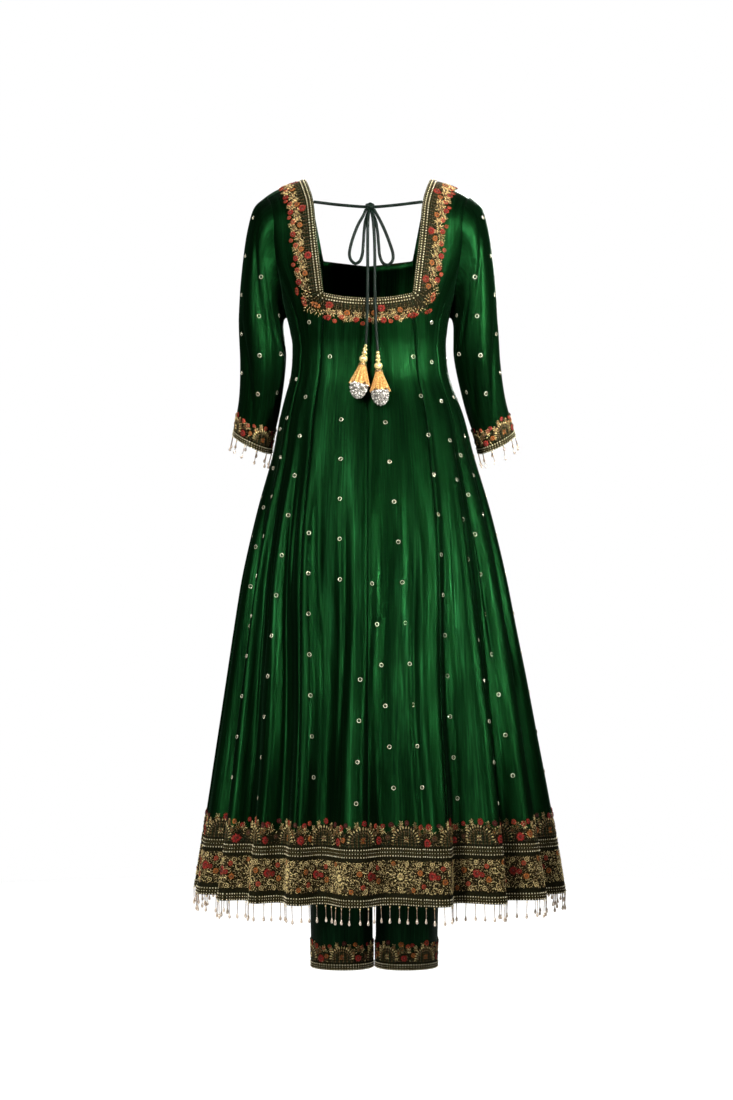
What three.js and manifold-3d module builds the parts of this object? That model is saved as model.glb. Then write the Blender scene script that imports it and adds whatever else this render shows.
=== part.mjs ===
// A trouser suit: a long flared tunic cut in kali panels, with three-quarter sleeves and a deep square
// back neck that ties with a tasselled cord, over straight ankle-length trousers.
// Millimetres, +Z up. The back faces -Y, the front faces +Y, and the wearer's right is +X.
// The origin lies midway between the two points where the neck opening meets the shoulder seams.
// A level is a depth below that point: 0 at the shoulder seams, growing towards the hem.
import * as THREE from "three";
import Module from "manifold-3d";
import { mergeVertices } from "three/addons/utils/BufferGeometryUtils.js";

const wasm = await Module();
wasm.setup();

// Driving dimensions
const CLOTH = 1.6; // silk with its lining
const SEAM_GAP = 0.4;
const TRIM = 1.0; // thickness of lace and bead tape
const TRIM_LIFT = 0.6; // how far a trim stands off the cloth under it
const TUNIC_LENGTH = 1217;
const FULL_BODY_LEVEL = 262; // below this every tunic panel is part of the same ring
const SHOULDER_CURVE = 113; // the body starts to round over towards the shoulder seam here
const SQUARENESS = 2.2; // 2 is an ellipse, more is squarer
const FOLDS_START = 385;
const FOLD_GROWTH = 0.85;
const NECK_POINT = 107; // half the neck width at the shoulder seam
const NECK_BACK_DEPTH = 211;
const NECK_BACK_CORNER = 201;
const NECK_FRONT_DEPTH = 138;
const NECK_FRONT_CORNER = 130;
const ARMPIT = 237;
const KALI_CORNER = 150; // where the side seams of the kalis reach the armhole
const SHOULDER_SLOPE = 0.265;
const SHOULDER_TIP = 176;
const SHOULDER_DROP = 11; // how far the tip falls below the straight slope
const LACE_WIDTH = 10;
const NECK_LIFT = 1; // the neck lace is made of longer steps than the cloth, so it stands further off
const HEM_LACE = { top: 1123, bottom: 1139 };
const HEM_TAPE = 13;
const HEM_DROPS = 150;
const CUFF_DROPS = 12;
const CORD = 4; // diameter of the tie cord
const TROUSER_TOP = 420;
const WAISTBAND_TOP = 386;
const TROUSER_LENGTH = 1352;
const CROTCH = 655;

// Half width, sideways shift, and depth to the back and front of the tunic at each level.
const SECTIONS = [
  { level: 0, half: 192, shift: 0, back: 98, front: 104 },
  { level: 60, half: 188, shift: 0, back: 98, front: 104 },
  { level: 113, half: 181, shift: 0, back: 99, front: 106 },
  { level: 150, half: 171, shift: 0, back: 103, front: 122 },
  { level: 180, half: 159.5, shift: 0, back: 104, front: 132 },
  { level: 210, half: 148, shift: 0, back: 103, front: 139 },
  { level: 237, half: 140, shift: 0, back: 101, front: 141 },
  { level: 262, half: 135, shift: 1, back: 98, front: 137 },
  { level: 290, half: 132, shift: 2, back: 95, front: 124 },
  { level: 337, half: 136, shift: 3, back: 97, front: 116 },
  { level: 375, half: 148, shift: 5, back: 107, front: 121 },
  { level: 411, half: 159, shift: 7, back: 120, front: 132 },
  { level: 475, half: 173, shift: 9, back: 143, front: 152 },
  { level: 568, half: 199, shift: 10, back: 172, front: 178 },
  { level: 679, half: 224, shift: 11, back: 199, front: 203 },
  { level: 774, half: 240, shift: 13, back: 217, front: 221 },
  { level: 877, half: 257, shift: 16, back: 234, front: 237 },
  { level: 1084, half: 290, shift: 20, back: 264, front: 266 },
  { level: 1217, half: 310, shift: 21, back: 283, front: 284 },
];

// Where the seams lie, in degrees round from the centre back.
const SEAMS = [
  { level: 113, princess: 24, frontPrincess: 22, sideBack: 65 },
  { level: 150, princess: 26, frontPrincess: 26, sideBack: 64.1 },
  { level: 201, princess: 28, frontPrincess: 29, sideBack: 63 },
  { level: 240, princess: 32, frontPrincess: 32, sideBack: 62 },
  { level: 290, princess: 36.5, frontPrincess: 36.5, sideBack: 61 },
  { level: 400, princess: 36, frontPrincess: 36, sideBack: 60 },
  { level: 570, princess: 31.5, frontPrincess: 31.5, sideBack: 55 },
  { level: 900, princess: 24, frontPrincess: 24, sideBack: 49 },
  { level: 1217, princess: 21.4, frontPrincess: 21.4, sideBack: 46 },
];

// The neck and armhole edges, as half widths from the centre.
const NECK_BACK = [
  { level: 0, x: 107 },
  { level: 20, x: 100 },
  { level: 45, x: 93 },
  { level: 80, x: 89 },
  { level: 120, x: 85 },
  { level: 201, x: 75 },
];
const NECK_FRONT = [
  { level: 0, x: 107 },
  { level: 20, x: 101 },
  { level: 50, x: 94 },
  { level: 90, x: 86 },
  { level: 130, x: 78 },
];
const ARMHOLE = [
  { level: 0, x: 176 },
  { level: 20, x: 168 },
  { level: 45, x: 163 },
  { level: 75, x: 160.5 },
  { level: 113, x: 160 },
  { level: 147, x: 156 },
  { level: 180, x: 150.3 },
  { level: 210, x: 145.8 },
  { level: 237, x: 140 },
];

// The skirt's folds at the hem: a crest and the hollow after it, in degrees and in millimetres of depth.
const FOLDS = [
  { crest: -170, out: 16, hollow: -161, dip: 20 },
  { crest: -152, out: 17, hollow: -143, dip: 22 },
  { crest: -133, out: 14, hollow: -124, dip: 20 },
  { crest: -114, out: 15, hollow: -105, dip: 18 },
  { crest: -95, out: 11, hollow: -86, dip: 14 },
  { crest: -76, out: 10, hollow: -62, dip: 26 },
  { crest: -53, out: 20, hollow: -46, dip: 12 },
  { crest: -39, out: 14, hollow: -32, dip: 20 },
  { crest: -25, out: 11, hollow: -17, dip: 26 },
  { crest: -7, out: 19, hollow: 3, dip: 22 },
  { crest: 15, out: 19, hollow: 25, dip: 30 },
  { crest: 35, out: 17, hollow: 43, dip: 24 },
  { crest: 54, out: 14, hollow: 65, dip: 20 },
  { crest: 76, out: 10, hollow: 87, dip: 14 },
  { crest: 97, out: 11, hollow: 106, dip: 18 },
  { crest: 115, out: 15, hollow: 124, dip: 20 },
  { crest: 133, out: 14, hollow: 142, dip: 22 },
  { crest: 151, out: 17, hollow: 160, dip: 20 },
  { crest: 170, out: 16, hollow: 180, dip: 18 },
];
const FOLD_COLUMNS = [0.27, 0.73]; // where columns stand between a crest and a hollow, so that both stay round

// One sleeve, ring by ring: its outer and its underarm point, its middle and half depth, how much its back
// edge dips, and how much of the armhole's own outline is left in it.
const SLEEVE = [
  { outX: 176, outZ: -29, inX: 140, inZ: -237, mid: 2, deep: 58, dip: 0, armhole: 1 },
  { outX: 196, outZ: -48, inX: 143, inZ: -239, mid: 2, deep: 58, dip: 0, armhole: 0.8 },
  { outX: 207, outZ: -85, inX: 145, inZ: -244, mid: 1, deep: 57, dip: 0, armhole: 0.5 },
  { outX: 214, outZ: -130, inX: 146, inZ: -254, mid: 0, deep: 55, dip: 0, armhole: 0.25 },
  { outX: 220, outZ: -190, inX: 145, inZ: -274, mid: -1, deep: 53, dip: 0, armhole: 0.08 },
  { outX: 223, outZ: -255, inX: 144, inZ: -305, mid: -1, deep: 51, dip: 0, armhole: 0 },
  { outX: 224, outZ: -315, inX: 150, inZ: -348, mid: 4, deep: 49, dip: 2, armhole: 0 },
  { outX: 229, outZ: -370, inX: 161, inZ: -400, mid: 15, deep: 47, dip: 4, armhole: 0 },
  { outX: 238, outZ: -412, inX: 173, inZ: -442, mid: 28, deep: 46, dip: 7, armhole: 0 },
  { outX: 244, outZ: -438, inX: 179, inZ: -469, mid: 37, deep: 46, dip: 8, armhole: 0 },
];
const SLEEVE_COLUMNS = 18;
const SLEEVE_SHIFT = { from: -240, to: -469, by: 12 }; // both forearms lean a little to the wearer's right

// Soft slanting folds in the sleeve: where each starts and ends round the arm, over which rings, and its depth.
const SLEEVE_FOLDS = [
  { from: 60, to: 130, start: 2, end: 7, wide: 22, deep: 4 },
  { from: 105, to: 165, start: 3, end: 8, wide: 20, deep: 3.5 },
  { from: 300, to: 230, start: 2, end: 7, wide: 22, deep: 4 },
  { from: 20, to: 75, start: 4, end: 8, wide: 22, deep: 3 },
];

// The trousers' hips, and then one leg from the crotch down.
const HIPS = [
  { level: 386, half: 128, back: 92, front: 98 },
  { level: 420, half: 136, back: 100, front: 102 },
  { level: 480, half: 154, back: 118, front: 108 },
  { level: 530, half: 164, back: 126, front: 110 },
  { level: 580, half: 169, back: 126, front: 108 },
  { level: 655, half: 168, back: 112, front: 100 },
];
const LEG = [
  { level: 500, middle: 86, half: 84, back: 112, front: 100 },
  { level: 655, middle: 85, half: 82, back: 108, front: 96 },
  { level: 720, middle: 83, half: 79, back: 99, front: 90 },
  { level: 820, middle: 78, half: 71, back: 86, front: 82 },
  { level: 950, middle: 70, half: 61, back: 72, front: 70 },
  { level: 1100, middle: 62, half: 56, back: 62, front: 60 },
  { level: 1230, middle: 57, half: 54, back: 58, front: 56 },
  { level: 1352, middle: 55, half: 53, back: 55, front: 54 },
];
const CROTCH_CURVE_START = 520;
const TROUSER_LEVELS = [420.4, 480, 560, 620, 655, 740, 900, 1100, 1352];
const TROUSER_COLUMNS = 7;

// Routes of the tie cord, from the neck edges to the knot, round the bow and down to the tassels.
const KNOT = { x: 3.2, y: -86, z: -56, halfWide: 7, halfDeep: 4.5, halfHigh: 6.5 };
const BRIDGE_LEFT = [
  [-91.7, -74.3, -46.2],
  [-78, -77.4, -48.2],
  [-55, -81, -51.4],
  [-30, -84, -54],
  [-14, -85.5, -55.4],
  [-4.3, -86, -56],
];
const BRIDGE_RIGHT = [
  [91.7, -74.3, -46.2],
  [78, -77.4, -48.2],
  [57, -81, -51.2],
  [34, -84, -54],
  [20, -85.5, -55.4],
  [10.7, -86, -56],
];
const LOOP_LEFT = [
  [-3.6, -87.4, -60.8],
  [-7.9, -91, -71.1],
  [-15.8, -93, -85],
  [-23.6, -95.5, -104],
  [-29.5, -98, -123.8],
  [-31.4, -100.5, -137.8],
  [-28.5, -101.5, -147.7],
  [-21.6, -102, -153.2],
  [-14.3, -102, -149.7],
  [-9.9, -101, -138.9],
  [-7.9, -98.5, -120],
  [-6.5, -95.5, -98.1],
  [-4.2, -91.5, -80],
  [0.6, -85.2, -64.4],
];
const LOOP_RIGHT = [
  [9.9, -87.4, -60.6],
  [15.7, -91, -71.1],
  [22.5, -93, -84.1],
  [30.4, -95.5, -102],
  [37.7, -98, -121.9],
  [42.1, -100.5, -137.8],
  [41.1, -101.5, -148.7],
  [33.8, -102, -155.6],
  [25.4, -102, -152.7],
  [20, -101, -140.8],
  [18, -98.5, -121.9],
  [16.1, -95.5, -100],
  [12.7, -91.5, -80],
  [6.6, -85.2, -64.4],
];
const TAIL_LEFT = [
  [1.1, -89.4, -62.8],
  [0.2, -94.5, -76],
  [-0.4, -97, -92],
  [-0.6, -99.5, -114],
  [-0.6, -102, -140],
  [-0.6, -105.4, -170],
  [-0.8, -107.2, -200],
  [-1.2, -107.4, -225],
  [-1.8, -107.6, -250],
  [-2.6, -107.2, -272],
  [-3.5, -107, -289],
];
const TAIL_RIGHT = [
  [5.6, -89.4, -62.8],
  [8, -94.5, -76],
  [9.6, -97, -92],
  [10.8, -99.5, -114],
  [11.4, -102, -140],
  [11.4, -105.4, -170],
  [11.6, -106.8, -200],
  [12.2, -107, -225],
  [13.2, -107.2, -254],
  [14.6, -107.2, -280],
  [16, -107, -300.6],
];
// A tassel hangs from the end of each tail and leans on the flaring skirt.
const TASSELS = {
  left: { x: -3.6, y: -107, z: -289.6, leanOut: 11.4, leanSide: -9 },
  right: { x: 16, y: -107, z: -301.2, leanOut: 13.6, leanSide: 3.5 },
};
const BEAD_STACK = [
  { top: 0, high: 6, radius: 2.6 },
  { top: 6, high: 7, radius: 3.8 },
  { top: 13, high: 6, radius: 4.6 },
  { top: 19, high: 14, radius: 6.6 },
];
const BELL = { top: 33.3, bottom: 71, neck: 5.4, mouth: 17.3, pleats: 9, pleatDepth: 1.8 };
const BEAD_DOME = { top: 71.3, high: 24, radius: 15.2, rows: 4, columns: 14, bump: 1.3 };

const SILK = { color: 0x0f5a30, roughness: 0.45, metalness: 0 };
const GOLD_LACE = { color: 0xb39a5c, roughness: 0.4, metalness: 0.6 };
const GOLD_TISSUE = { color: 0xd9a95c, roughness: 0.35, metalness: 0.5 };
const CRYSTAL = { color: 0xc9c3c6, roughness: 0.2, metalness: 0.3 };
const CORD_SATIN = { color: 0x0d3a26, roughness: 0.4, metalness: 0 };

const DEGREE = Math.PI / 180;
const mix = THREE.MathUtils.lerp;
const clamp = THREE.MathUtils.clamp;
const suit = new THREE.Group();

// Reads a column of a table at a level, on a smooth curve through the rows.
function read(table, column, at, key = "level") {
  const last = table.length - 1;
  const where = clamp(at, table[0][key], table[last][key]);
  let k = 1;
  while (k < last && table[k][key] < where) k++;
  const slope = (i) => {
    const [a, b] = [table[Math.max(i - 1, 0)], table[Math.min(i + 1, last)]];
    return (b[column] - a[column]) / (b[key] - a[key]);
  };
  const [a, b] = [table[k - 1], table[k]];
  const span = b[key] - a[key];
  const t = (where - a[key]) / span;
  return (
    a[column] * (1 + 2 * t) * (1 - t) ** 2 +
    slope(k - 1) * span * t * (1 - t) ** 2 +
    b[column] * t * t * (3 - 2 * t) +
    slope(k) * span * t * t * (t - 1)
  );
}

const rounded = (value) => Math.sign(value) * Math.abs(value) ** (2 / SQUARENESS);

// How high the shoulder seam lies at a distance from the centre.
function shoulderHeight(x) {
  const out = Math.abs(x) - NECK_POINT;
  const share = Math.max(0, out / (SHOULDER_TIP - NECK_POINT));
  return -SHOULDER_SLOPE * out - SHOULDER_DROP * share ** 3;
}

// A point of the tunic's outer face, from its direction round the body, its level and its fold.
function tunicPoint(angle, level, fold = 0) {
  const [s, c] = [Math.sin(angle * DEGREE), Math.cos(angle * DEGREE)];
  const depth = read(SECTIONS, c > 0 ? "back" : "front", Math.max(level, SHOULDER_CURVE));
  const x = read(SECTIONS, "shift", level) + read(SECTIONS, "half", level) * rounded(s) + s * fold;
  const y = -rounded(c) * depth - c * fold;
  if (level >= SHOULDER_CURVE) return new THREE.Vector3(x, y, -level);
  const up = clamp(1 - level / SHOULDER_CURVE, 0, 1);
  const round = Math.max(0, 1 - up ** 2.3) ** (1 / 1.8);
  return new THREE.Vector3(x, y * round, mix(-SHOULDER_CURVE, shoulderHeight(x), up));
}

// The direction round the body of a point at a distance from the centre.
function angleAt(x, level) {
  const share = clamp(x / read(SECTIONS, "half", level), 0, 1);
  return Math.asin(share ** (SQUARENESS / 2)) / DEGREE;
}
const armholeAngle = (level) => angleAt(read(ARMHOLE, "x", level), level);

// The level at which the armhole passes a direction, found by halving.
function armholeLevel(angle) {
  let [low, high] = [KALI_CORNER, ARMPIT];
  for (let i = 0; i < 30; i++) {
    const half = (low + high) / 2;
    if (armholeAngle(half) < angle) low = half;
    else high = half;
  }
  return high;
}

// Angles of the seams at a level. The centre back seam stays on the wearer's centre line.
function centreBack(level) {
  return -angleAt(read(SECTIONS, "shift", level), level);
}
const princess = (level) => read(SEAMS, "princess", level);
const frontPrincess = (level) => read(SEAMS, "frontPrincess", level);
const sideBack = (level) => read(SEAMS, "sideBack", level);

// The fold's depth at a direction of the hem, and how much of it there is at a level.
function foldAt(angle) {
  const stops = FOLDS.flatMap((f) => [
    { at: f.crest, out: f.out },
    { at: f.hollow, out: -f.dip },
  ]);
  stops.unshift({ at: stops.at(-1).at - 360, out: stops.at(-1).out });
  stops.push({ at: stops[1].at + 360, out: stops[1].out });
  const around = ((((angle + 180) % 360) + 360) % 360) - 180;
  const k = stops.findIndex((s) => s.at > around);
  const [a, b] = [stops[k - 1], stops[k]];
  return mix(a.out, b.out, (1 - Math.cos((Math.PI * (around - a.at)) / (b.at - a.at))) / 2);
}
const foldShare = (level) =>
  Math.max(0, (level - FOLDS_START) / (TUNIC_LENGTH - FOLDS_START)) ** FOLD_GROWTH;

// The tunic's panels, going round from the wearer's left front.
const flatTop = () => 0;
const backNeck = (across) => NECK_BACK_DEPTH - (NECK_BACK_DEPTH - NECK_BACK_CORNER) * across ** 2;
const neckOr = (table, corner, seam) => (level) =>
  level < corner ? angleAt(read(table, "x", level), level) : seam(level);
const besideBack = neckOr(NECK_BACK, NECK_BACK_CORNER, princess);
const besideFront = neckOr(NECK_FRONT, NECK_FRONT_CORNER, frontPrincess);
const armholeOr = (level) => (level < KALI_CORNER ? armholeAngle(level) : sideBack(level));
const underArm = (across) => armholeLevel(mix(sideBack(KALI_CORNER), 90, across));

const PANELS = [
  {
    name: "tunic_front_side_left",
    left: (l) => besideFront(l) - 180,
    right: (l) => armholeOr(l) - 180,
    top: flatTop,
  },
  {
    name: "tunic_front_kali_left",
    left: (l) => sideBack(l) - 180,
    right: () => -90,
    top: (u) => underArm(u),
  },
  {
    name: "tunic_back_kali_left",
    left: () => -90,
    right: (l) => centreBack(l) / 2 - sideBack(l),
    top: (u) => underArm(1 - u),
  },
  {
    name: "tunic_back_side_left",
    left: (l) => centreBack(l) / 2 - armholeOr(l),
    right: (l) => centreBack(l) - besideBack(l),
    top: flatTop,
  },
  {
    name: "tunic_back_centre_left",
    left: (l) => centreBack(l) - princess(l),
    right: centreBack,
    top: (u) => backNeck(1 - u),
  },
  {
    name: "tunic_back_centre_right",
    left: centreBack,
    right: (l) => centreBack(l) + princess(l),
    top: (u) => backNeck(u),
  },
  {
    name: "tunic_back_side_right",
    left: (l) => centreBack(l) + besideBack(l),
    right: (l) => centreBack(l) / 2 + armholeOr(l),
    top: flatTop,
  },
  {
    name: "tunic_back_kali_right",
    left: (l) => centreBack(l) / 2 + sideBack(l),
    right: () => 90,
    top: (u) => underArm(u),
  },
  {
    name: "tunic_front_kali_right",
    left: () => 90,
    right: (l) => 180 - sideBack(l),
    top: (u) => underArm(1 - u),
  },
  {
    name: "tunic_front_side_right",
    left: (l) => 180 - armholeOr(l),
    right: (l) => 180 - besideFront(l),
    top: flatTop,
  },
  {
    name: "tunic_front_centre",
    left: (l) => 180 - frontPrincess(l),
    right: (l) => 180 + frontPrincess(l),
    top: (u) => NECK_FRONT_DEPTH - (NECK_FRONT_DEPTH - NECK_FRONT_CORNER) * (2 * u - 1) ** 2,
  },
];
const BACK_LEVELS = [0, 4, 18, 45, 80, 113, 150, 201, 232];
const FRONT_LEVELS = [0, 4, 18, 45, 80, 113, 130, 150, 201, 232];
const RING_LEVELS = [262, 300, 345, 400, 490, 640, 860, 1139, 1217];

// Where the columns of a panel lie across it, to follow the folds.
function columnsOf(panel) {
  const [left, right] = [panel.left(TUNIC_LENGTH), panel.right(TUNIC_LENGTH)];
  const angles = [];
  FOLDS.forEach((fold, i) => {
    const next = FOLDS[i + 1]?.crest ?? FOLDS[0].crest + 360;
    for (const share of FOLD_COLUMNS) {
      angles.push(mix(fold.crest, fold.hollow, share), mix(fold.hollow, next, share));
    }
  });
  const shares = [0, 1];
  for (const angle of [...angles, ...angles.map((a) => a + 360)]) {
    const share = (angle - left) / (right - left);
    const edge = 1.2 / (right - left);
    if (share > edge && share < 1 - edge) shares.push(share);
  }
  return shares.sort((a, b) => a - b);
}

// A point of a panel: across it from 0 to 1, at a level.
function onPanel(panel, across, level) {
  const hem = mix(panel.left(TUNIC_LENGTH), panel.right(TUNIC_LENGTH), across);
  const angle = mix(panel.left(level), panel.right(level), across);
  return tunicPoint(angle, level, foldAt(hem) * foldShare(level));
}

// The way out of the cloth at a point of a surface, from its two directions there.
function outward(along, down, away) {
  const normal = along.cross(down).normalize();
  return normal.dot(away) < 0 ? normal.negate() : normal;
}
function panelNormal(panel, across, level) {
  const [du, dl] = [0.004, 0.4];
  const along = onPanel(panel, across + du, level).sub(onPanel(panel, across - du, level));
  const low = Math.max(level, 0.2);
  const down = onPanel(panel, across, low + dl).sub(onPanel(panel, across, Math.max(low - dl, 0)));
  const here = onPanel(panel, across, level);
  const away = new THREE.Vector3(here.x, here.y, level < SHOULDER_CURVE ? 150 : 0);
  return outward(along, down, away);
}

// Moves the ends of a row towards their neighbours, to leave half a seam gap.
function drawIn(points) {
  const ends = [
    [0, 1],
    [points.length - 1, points.length - 2],
  ];
  for (const [end, next] of ends) {
    const step = points[next].clone().sub(points[end]);
    points[end].addScaledVector(step.normalize(), SEAM_GAP / 2);
  }
}

// A closed solid between two sheets of points, given row by row. A round one joins its last column to its first.
function wall(outer, inner, round = false) {
  const [rows, columns] = [outer.length, outer[0].length];
  const points = [...outer.flat(), ...inner.flat()];
  const spans = round ? columns : columns - 1;
  const at = (side, i, j) => side * rows * columns + i * columns + (j % columns);
  const index = [];
  const quad = (a, b, c, d) => index.push(a, b, c, a, c, d);
  for (let i = 0; i < rows - 1; i++)
    for (let j = 0; j < spans; j++) {
      quad(at(0, i, j), at(0, i + 1, j), at(0, i + 1, j + 1), at(0, i, j + 1));
      quad(at(1, i, j), at(1, i, j + 1), at(1, i + 1, j + 1), at(1, i + 1, j));
    }
  for (let j = 0; j < spans; j++) {
    quad(at(0, 0, j), at(0, 0, j + 1), at(1, 0, j + 1), at(1, 0, j));
    const end = rows - 1;
    quad(at(0, end, j), at(1, end, j), at(1, end, j + 1), at(0, end, j + 1));
  }
  for (let i = 0; i < rows - 1 && !round; i++) {
    quad(at(0, i, 0), at(1, i, 0), at(1, i + 1, 0), at(0, i + 1, 0));
    const end = columns - 1;
    quad(at(0, i, end), at(0, i + 1, end), at(1, i + 1, end), at(1, i, end));
  }
  return closed(points, index);
}

// A geometry of points and triangles, turned to face out.
function closed(points, index) {
  let volume = 0;
  for (let i = 0; i < index.length; i += 3) {
    const [a, b, c] = [points[index[i]], points[index[i + 1]], points[index[i + 2]]];
    volume += a.dot(b.clone().cross(c));
  }
  const faces = volume > 0 ? index : index.toReversed();
  return new THREE.BufferGeometry().setFromPoints(points).setIndex(faces);
}

function add(name, geometry, finish) {
  const mesh = new THREE.Mesh(geometry, new THREE.MeshStandardMaterial(finish));
  mesh.name = name;
  suit.add(mesh);
  return mesh;
}

// The levels of a panel's rows in one column.
function levelsOf(panel, across) {
  const upper = panel.name.includes("front") ? FRONT_LEVELS : BACK_LEVELS;
  const corner = Math.min(panel.top(0), panel.top(1));
  const shares = upper.filter((l) => l >= corner).map((l) => (l - corner) / (FULL_BODY_LEVEL - corner));
  return [...shares.map((share) => mix(panel.top(across), FULL_BODY_LEVEL, share)), ...RING_LEVELS];
}

function tunicPanel(panel) {
  const shares = columnsOf(panel);
  const rows = levelsOf(panel, 0).length;
  const sheet = (depth) => {
    const made = [];
    for (let i = 0; i < rows; i++) {
      const row = shares.map((across) => {
        const level = levelsOf(panel, across)[i];
        const away = panelNormal(panel, across, level);
        return onPanel(panel, across, level).addScaledVector(away, -depth);
      });
      drawIn(row);
      made.push(row);
    }
    made[0].forEach((point, j) => {
      const step = made[1][j].clone().sub(point);
      point.addScaledVector(step.normalize(), SEAM_GAP / 2);
    });
    return made;
  };
  add(panel.name, wall(sheet(0), sheet(CLOTH)), SILK);
}

// A ring of the skirt's own columns at a level, moved out. It follows the flat faces between two rows.
function skirtRing(level, out) {
  const k = RING_LEVELS.findIndex((l) => l >= level);
  const [above, below] = [RING_LEVELS[k - 1], RING_LEVELS[k]];
  const ring = [];
  for (const panel of PANELS)
    for (const across of columnsOf(panel).slice(0, -1)) {
      const at = (l) =>
        onPanel(panel, across, l).addScaledVector(panelNormal(panel, across, l), out);
      ring.push(at(above).lerp(at(below), (level - above) / (below - above)));
    }
  return ring;
}
const trimRings = (levels, out) => levels.map((level) => skirtRing(level, out));

// A geometry as a solid that can be joined to others, and back.
function toSolid(geometry) {
  const bare = new THREE.BufferGeometry().setAttribute("position", geometry.getAttribute("position"));
  bare.setIndex(geometry.index);
  const merged = mergeVertices(bare, 1e-4);
  const mesh = new wasm.Mesh({
    numProp: 3,
    vertProperties: merged.getAttribute("position").array,
    triVerts: new Uint32Array(merged.index.array),
  });
  return new wasm.Manifold(mesh);
}
function toGeometry(solid) {
  const mesh = solid.getMesh();
  const geometry = new THREE.BufferGeometry();
  geometry.setAttribute("position", new THREE.BufferAttribute(mesh.vertProperties, 3));
  return geometry.setIndex(new THREE.BufferAttribute(mesh.triVerts, 1));
}

// One bead drop: a thread that swells to a bead and ends in a point, with three sides.
function beadDrop(root, direction, length) {
  const bead = root.clone().addScaledVector(direction, length * 0.8);
  const tip = root.clone().addScaledVector(direction, length);
  const side = new THREE.Vector3(1, 0, 0);
  const other = new THREE.Vector3().crossVectors(direction, side).normalize();
  const across = new THREE.Vector3().crossVectors(other, direction).normalize();
  const ring = (centre, radius) =>
    [0, 1, 2].map((k) => {
      const turn = (k * 2 * Math.PI) / 3;
      return centre
        .clone()
        .addScaledVector(across, radius * Math.cos(turn))
        .addScaledVector(other, radius * Math.sin(turn));
    });
  const points = [...ring(root, 0.3), ...ring(bead, 2.1), tip];
  const index = [0, 1, 2];
  for (let k = 0; k < 3; k++) {
    const next = (k + 1) % 3;
    index.push(k, 3 + k, next, next, 3 + k, 3 + next, 3 + k, 6, 3 + next);
  }
  return closed(points, index);
}

// Bead drops fused to a tape, evenly spaced along the tape's lower edge.
function fringe(tape, outerEdge, innerEdge, count, length, direction) {
  const edge = outerEdge.map((p, i) => p.clone().lerp(innerEdge[i], 0.5));
  edge.push(edge[0]);
  const along = [0];
  for (let i = 1; i < edge.length; i++) along.push(along[i - 1] + edge[i].distanceTo(edge[i - 1]));
  let solid = toSolid(tape);
  for (let k = 0; k < count; k++) {
    const at = (along.at(-1) * (k + 0.5)) / count;
    const i = along.findIndex((a) => a > at);
    const share = (at - along[i - 1]) / (along[i] - along[i - 1]);
    const root = edge[i - 1].clone().lerp(edge[i], share).addScaledVector(direction, -1.5);
    solid = solid.add(toSolid(beadDrop(root, direction, length)));
  }
  return toGeometry(solid);
}

// The armhole's outline, from the shoulder tip down the back to the armpit and up the front.
function armholePoint(turn) {
  const level = (ARMPIT * (1 - Math.cos(turn))) / 2;
  const angle = armholeAngle(level);
  const behind = Math.sin(turn) >= 0;
  return tunicPoint(behind ? angle : 180 - angle, level);
}
function plainRing(row, turn) {
  const [c, s] = [Math.cos(turn), Math.sin(turn)];
  return new THREE.Vector3(
    (row.outX + row.inX) / 2 + ((row.outX - row.inX) / 2) * c,
    row.mid - row.deep * s,
    (row.outZ + row.inZ) / 2 + ((row.outZ - row.inZ) / 2) * c - row.dip * s,
  );
}
function sleeveFold(turn, ring) {
  const degrees = turn / DEGREE;
  return SLEEVE_FOLDS.reduce((sum, fold) => {
    const along = (ring - fold.start) / (fold.end - fold.start);
    if (along <= 0 || along >= 1) return sum;
    const off = (degrees - mix(fold.from, fold.to, along)) / fold.wide;
    return sum + fold.deep * Math.sin(Math.PI * along) * Math.exp(-off * off);
  }, 0);
}

// The sleeve's outer face on the wearer's right, one row for each ring, and the same face moved out.
function sleeveRings() {
  return SLEEVE.map((row, k) => {
    const ring = [];
    for (let j = 0; j < SLEEVE_COLUMNS; j++) {
      const turn = (j * 2 * Math.PI) / SLEEVE_COLUMNS;
      const point = plainRing(row, turn);
      const armhole = armholePoint(turn).sub(plainRing(SLEEVE[0], turn));
      point.addScaledVector(armhole, row.armhole);
      const middle = new THREE.Vector3((row.outX + row.inX) / 2, row.mid, point.z);
      point.addScaledVector(point.clone().sub(middle).normalize(), -sleeveFold(turn, k));
      if (k === 0) point.x += SEAM_GAP + 0.15;
      ring.push(point);
    }
    return ring;
  });
}
function movedOut(rings, out) {
  const columns = rings[0].length;
  return rings.map((ring, i) =>
    ring.map((point, j) => {
      const along = ring[(j + 1) % columns].clone().sub(ring[(j + columns - 1) % columns]);
      const [above, below] = [rings[Math.max(i - 1, 0)], rings[Math.min(i + 1, rings.length - 1)]];
      const down = below[j].clone().sub(above[j]);
      const normal = down.cross(along).normalize();
      return point.clone().addScaledVector(normal, out);
    }),
  );
}
function lean(point) {
  const share = clamp((point.z - SLEEVE_SHIFT.from) / (SLEEVE_SHIFT.to - SLEEVE_SHIFT.from), 0, 1);
  point.x += SLEEVE_SHIFT.by * share;
}
function toSide(rings, side) {
  return rings.map((ring) => {
    const placed = ring.map((p) => new THREE.Vector3(p.x * side, p.y, p.z));
    placed.forEach(lean);
    return placed;
  });
}
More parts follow.
